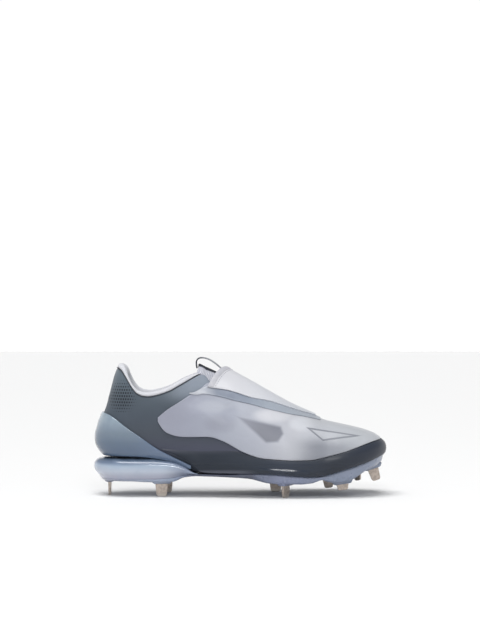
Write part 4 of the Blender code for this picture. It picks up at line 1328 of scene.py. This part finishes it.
def make_cover(shoe):
    """A flat sheet pulled over the instep, its rear hem turned under and sewn."""
    across = spread(-1.0, 1.0, 48)
    rows = [[cover_point(share, w) for w in across] for share in spread(0.0, 1.0, 60)]
    obj = thicken(shoe.grid("instep_cover", rows, "cover", "cover_sheet"), COVER_THICK)
    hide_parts("cover")
    hem = []
    for i, share in enumerate(spread(1.0 - HEM_DEEP, 1.006, 6)):
        puff = 0.8 * math.sin(math.pi * i / 6) ** 0.5
        hem.append([cover_point(share, w, (0.05 + puff) * MM) for w in across])
    band = thicken(shoe.grid("cover_hem", hem, "hem", "cover_sheet"), 1.0 * MM)
    path = [cover_point(1.0 - HEM_DEEP - 0.010, w, 0.02 * MM) for w in spread(-0.97, 0.97, 90)]
    thread = stitches(shoe, "hem_stitches", path, Vector((0.5, 0, 0.86)), "thread", "cover_sheet")


def outline(c, columns, heel_reach, toe_reach, inset, z):
    """A place on the edge of a flat piece with its own table of half widths."""
    stretch, angle, x = place(c)
    forward, sideways = turn(angle, TOE_SQUARE if stretch == "toe" else HEEL_SQUARE)
    half = wide(columns, side_name(c), x) - inset
    swing = wide(SECTIONS, "swing", x)
    if stretch == "toe":
        x += (toe_reach - inset) * forward
    if stretch == "heel":
        x -= (heel_reach - inset) * forward
    return Vector((x, swing + side_of(c) * half * sideways, z))


def bridge(first, second):
    """Three points evenly between two others."""
    return [first.lerp(second, share) for share in (0.25, 0.5, 0.75)]


def flat_ring(c, columns, heel_reach, toe_reach, steps):
    """One closed section of a flat piece: steps are (inset, height), top edge first."""
    lateral = [outline(c, columns, heel_reach, toe_reach, *step) for step in steps]
    medial = [outline(1 - c, columns, heel_reach, toe_reach, *step) for step in steps]
    return lateral + bridge(lateral[-1], medial[-1]) + medial[::-1] + bridge(medial[0], lateral[0])


def blades():
    """Every blade's name, place, length, height of the tip, turn and lean, in metres."""
    for name, along, across, long, tip, turned, lean in BLADES:
        yield name, along * LENGTH, across * BALL_WIDTH, long * BALL_WIDTH, tip * INSTEP_HEIGHT, turned, lean


def stand(x, y, turned, lean):
    """Placement of a blade: its origin on the plate's lower face, its foot swung forward by lean."""
    tilted = Matrix.Rotation(math.radians(-lean), 4, "Y") @ Matrix.Rotation(math.radians(turned), 4, "Z")
    return Matrix.Translation((x, y, tall(PLATE, "under", x))) @ tilted


def block(top, bottom, high, low, at):
    """Eight corners of a tapered block: half sizes at its two ends and their heights."""
    corners = []
    for (half_x, half_y), z in ((top, high), (bottom, low)):
        for sx, sy in ((-1, -1), (1, -1), (1, 1), (-1, 1)):
            corners.append(at @ Vector((sx * half_x, sy * half_y, z)))
    return corners


def plate_ring(c):
    """The sole plate's section: an upright edge that rounds under, a little fuller at the toe's top."""
    stretch, angle, x = place(c)
    if stretch == "toe":
        x += PLATE_TOE_REACH * turn(angle, TOE_SQUARE)[0]
    top = tall(PLATE, "top", x)
    deep = top - tall(PLATE, "under", x)
    lip = 2.2 * smooth((x / LENGTH - 0.92) / 0.06)
    insets = (0.8 - lip, 0.1 - 0.5 * lip, 0.0, 0.2, 0.6, 1.3, 2.2, 3.2, 4.5)
    downs = (0.0, 0.12, 0.25, 0.42, 0.6, 0.78, 0.9, 0.97, 1.0)
    steps = [(inset * MM, top - down * deep) for inset, down in zip(insets, downs)]
    return flat_ring(c, PLATE, PLATE_HEEL_REACH, PLATE_TOE_REACH, steps)


def make_plate(shoe):
    """The sole plate with its two lobes, its arch and a rounded housing for each blade."""
    heel = [g * MIDDLE for g in spread(1.0, HEEL_START, 12)]
    side = [column_at(x) for x in spread(HEEL_X, TOE_X, 90)[1:-1]]
    toe = [g * MIDDLE for g in spread(TOE_END, 0.0, 18)]
    rings = [plate_ring(c) for c in heel + side + toe]
    plate = shoe.loft("sole_plate", rings, "plate", "plate_plastic", caps=False)
    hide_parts("outsole_plate")
    for name, x, y, long, _, turned, lean in blades():
        top = (long / 2 + 2 * HOUSING_FLARE, HOUSING_HALF)
        bottom = (long / 2 + HOUSING_FLARE, HOUSING_HALF - HOUSING_FLARE)
        points = block(top, bottom, HOUSING_SINK, -HOUSING_DROP, stand(x, y, turned, lean))
        boss = name.replace("spike", "boss")
        bevelled(shoe.add(boss, points, BOX_FACES, "plate", "plate_plastic", closed=True), 1.5 * MM, 4)


def blade_outline(long, high, low):
    """Side view of a blade: straight down, a little narrower below, with rounded corners."""
    half = long / 2 - BLADE_TAPER
    corner = BLADE_CORNER
    arc = [(half - corner + corner * math.cos(a), low + corner - corner * math.sin(a))
           for a in spread(0.0, math.pi / 2, 6)]
    right = [(long / 2, high)] + arc
    return right + [(-x, z) for x, z in reversed(right)]


def make_blades(shoe):
    for name, x, y, long, tip, turned, lean in blades():
        reach = (tall(PLATE, "under", x) - tip) / math.cos(math.radians(lean))
        at = stand(x, y, turned, lean)
        high = -HOUSING_DROP + 0.5 * MM
        rings = []
        for side in (-1, 1):
            ring = []
            for across, z in blade_outline(long, high, -reach):
                thin = (BLADE_THICK - 0.4 * BLADE_TAPER * (high - z) / (high + reach)) / 2
                ring.append(at @ Vector((across, side * thin, z)))
            rings.append(ring)
        obj = shoe.loft(name.replace("spike", "blade"), rings, "metal", "blade_metal")
        obj.data.shade_flat()
        bevelled(obj, 0.35 * MM, 3)
        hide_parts(name)


def make_cushion(shoe):
    """The bulging cell under the heel, its upper groove filling up towards the front."""
    heel = [g * MIDDLE for g in spread(1.0, HEEL_START, 20)]
    side = [column_at(x) for x in spread(HEEL_X, CUSHION_END * LENGTH, 24)[1:]]
    rings = []
    for c in heel + side:
        _, _, x = place(c)
        low = tall(PLATE, "top", x) - GAP
        high = tall(SECTIONS, "feather", x) - GAP
        merge = smooth((x - 0.055) / 0.035)
        steps = []
        for height in spread(1.0, 0.0, 16):
            inset = (1 - CUSHION_SIDE["reach"](height)) * CUSHION_REACH
            if height > 0.5:
                inset *= 1 - 0.7 * merge
            steps.append((inset, low + (high - low) * height))
        rings.append(flat_ring(c, CUSHION, CUSHION_REACH, TOE_REACH, steps))
    obj = shoe.loft("heel_cell", rings, "cushion", "cushion_plastic")
    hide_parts("heel_cushion")


def insole_side(c, top):
    """One side of the insole's section: its top edge, its middle and its lower edge."""
    clear = -WALL - 1.3 * MM
    low_edge = skin(c, 0.0)
    base_z = low_edge.z + 0.9 * MM
    high_edge = skin(c, level_at(c, top), clear)
    high_edge.z = top
    middle = skin(c, level_at(c, (top + base_z) / 2), clear)
    hub = TOE_X if low_edge.x > TOE_X else max(low_edge.x, HEEL_X)
    inward = Vector((hub - low_edge.x, -low_edge.y, 0)).normalized()
    return [high_edge, middle, Vector((low_edge.x, low_edge.y, base_z)) + inward * (WALL + 1.6 * MM)]


def make_insole(shoe):
    """Fills the foot of the upper from side to side, its top shaped along the foot."""
    rings = []
    for c in reversed(half_columns()):
        top = tall(INSOLE, "top", surface(c, 0.0).x)
        lateral = insole_side(c, top)
        medial = insole_side(1 - c, top)
        dished = []
        for share in spread(0.0, 1.0, 8)[1:-1]:
            low = 1.2 * MM * math.sin(math.pi * share)
            dished.append(medial[0].lerp(lateral[0], share) - Vector((0, 0, low)))
        rings.append(lateral + bridge(lateral[-1], medial[-1]) + medial[::-1] + dished)
    obj = shoe.loft("insole_bed", rings, "insole", "insole_foam", caps=False)
    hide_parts("insole")


def make_floor():
    half = 5.0
    mesh = bpy.data.meshes.new("floor")
    points = [(-half, -half, 0), (half, -half, 0), (half, half, 0), (-half, half, 0)]
    mesh.from_pydata(points, [], [(0, 1, 2, 3)])
    floor = bpy.data.objects.new("floor", mesh)
    bpy.context.scene.collection.objects.link(floor)
    settings = {"Roughness": 0.9, "Specular IOR Level": 0.1}
    p = Paint("floor_paper", (0.0, 0.0, 0.0), settings, FLOOR_LIT)
    p.colour = p.mix(0.3 * p.noise(60.0), (250, 250, 250), (246, 247, 248))
    mesh.materials.append(p.done())


def aimed(name, lamp, spot, power):
    """A lamp that shines from its spot at the shoe."""
    lamp.energy = power
    made = bpy.data.objects.new(name, lamp)
    made.location = spot
    made.rotation_euler = (-Vector(spot)).to_track_quat("-Z", "Y").to_euler()
    bpy.context.scene.collection.objects.link(made)


def make_studio():
    """White walls all round, a dimmer ceiling, a wide soft light from above and one in front."""
    world = bpy.data.worlds.new("studio")
    world.use_nodes = True
    tree = world.node_tree
    parts = add_node(tree, "SeparateXYZ", {0: add_node(tree, "TexCoord").outputs["Generated"]})
    level = add_node(tree, "Math", {0: parts.outputs["Z"]}, operation="ABSOLUTE").outputs[0]
    inputs = {"Value": level, **dict(zip(RANGE_ENDS, (0.17, 0.42, 1.02, 0.38)))}
    dimmer = add_node(tree, "MapRange", inputs, interpolation_type="SMOOTHSTEP")
    back = tree.nodes["Background"]
    feed(tree, back.inputs["Color"], (1.0, 1.0, 1.0, 1.0))
    feed(tree, back.inputs["Strength"], dimmer.outputs["Result"])
    bpy.context.scene.world = world
    above = bpy.data.lights.new("ceiling_light", "SUN")
    above.angle = math.radians(40)
    aimed("ceiling_light", above, (-0.15, -0.25, 1.0), 2.5)
    panel = bpy.data.lights.new("front_light", "AREA")
    panel.shape = "RECTANGLE"
    panel.size = 0.6
    panel.size_y = 0.12
    aimed("front_light", panel, (0.04, -1.7, 1.06), 8.5)
    bpy.context.scene.view_settings.view_transform = "Standard"


def make_camera():
    """Looks down at the shoe at the photograph's angle and holds it low in the frame."""
    drop = (ORIGIN_PIXEL[1] - PHOTO_CENTRE[1]) * METRES_PER_PIXEL
    under_axis = math.asin(drop / DISTANCE)
    depth = DISTANCE * math.cos(under_axis)
    data = bpy.data.cameras.new("photo_camera")
    data.sensor_width = SENSOR
    data.lens = SENSOR * depth / (PHOTO_HIGH * METRES_PER_PIXEL)
    camera = bpy.data.objects.new("photo_camera", data)
    down = math.radians(LOOK_DOWN)
    left = (PHOTO_CENTRE[0] - ORIGIN_PIXEL[0]) * METRES_PER_PIXEL
    camera.location = (left, -DISTANCE * math.cos(down), DISTANCE * math.sin(down))
    camera.rotation_euler = (math.pi / 2 - down + under_axis, 0, 0)
    bpy.context.scene.collection.objects.link(camera)
    bpy.context.scene.camera = camera


def corners(box):
    return [list(corner) for corner in box]


def main():
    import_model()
    low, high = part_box("spike_heel_rear")
    _, x, y, *_ = next(blades())
    shift = Vector(((low[0] + high[0]) / 2 - x, (low[1] + high[1]) / 2 - y, 0.0))
    make_camera()
    make_studio()
    make_floor()
    shoe = Shoe(shift, make_paints(shift))
    for make in (make_upper, make_vamp, make_sidewall, make_counter, make_band, make_lining, make_piping,
                 make_tongue, make_loop, make_cover, make_cushion, make_plate, make_insole, make_blades):
        make(shoe)
    bpy.context.view_layer.update()


main()
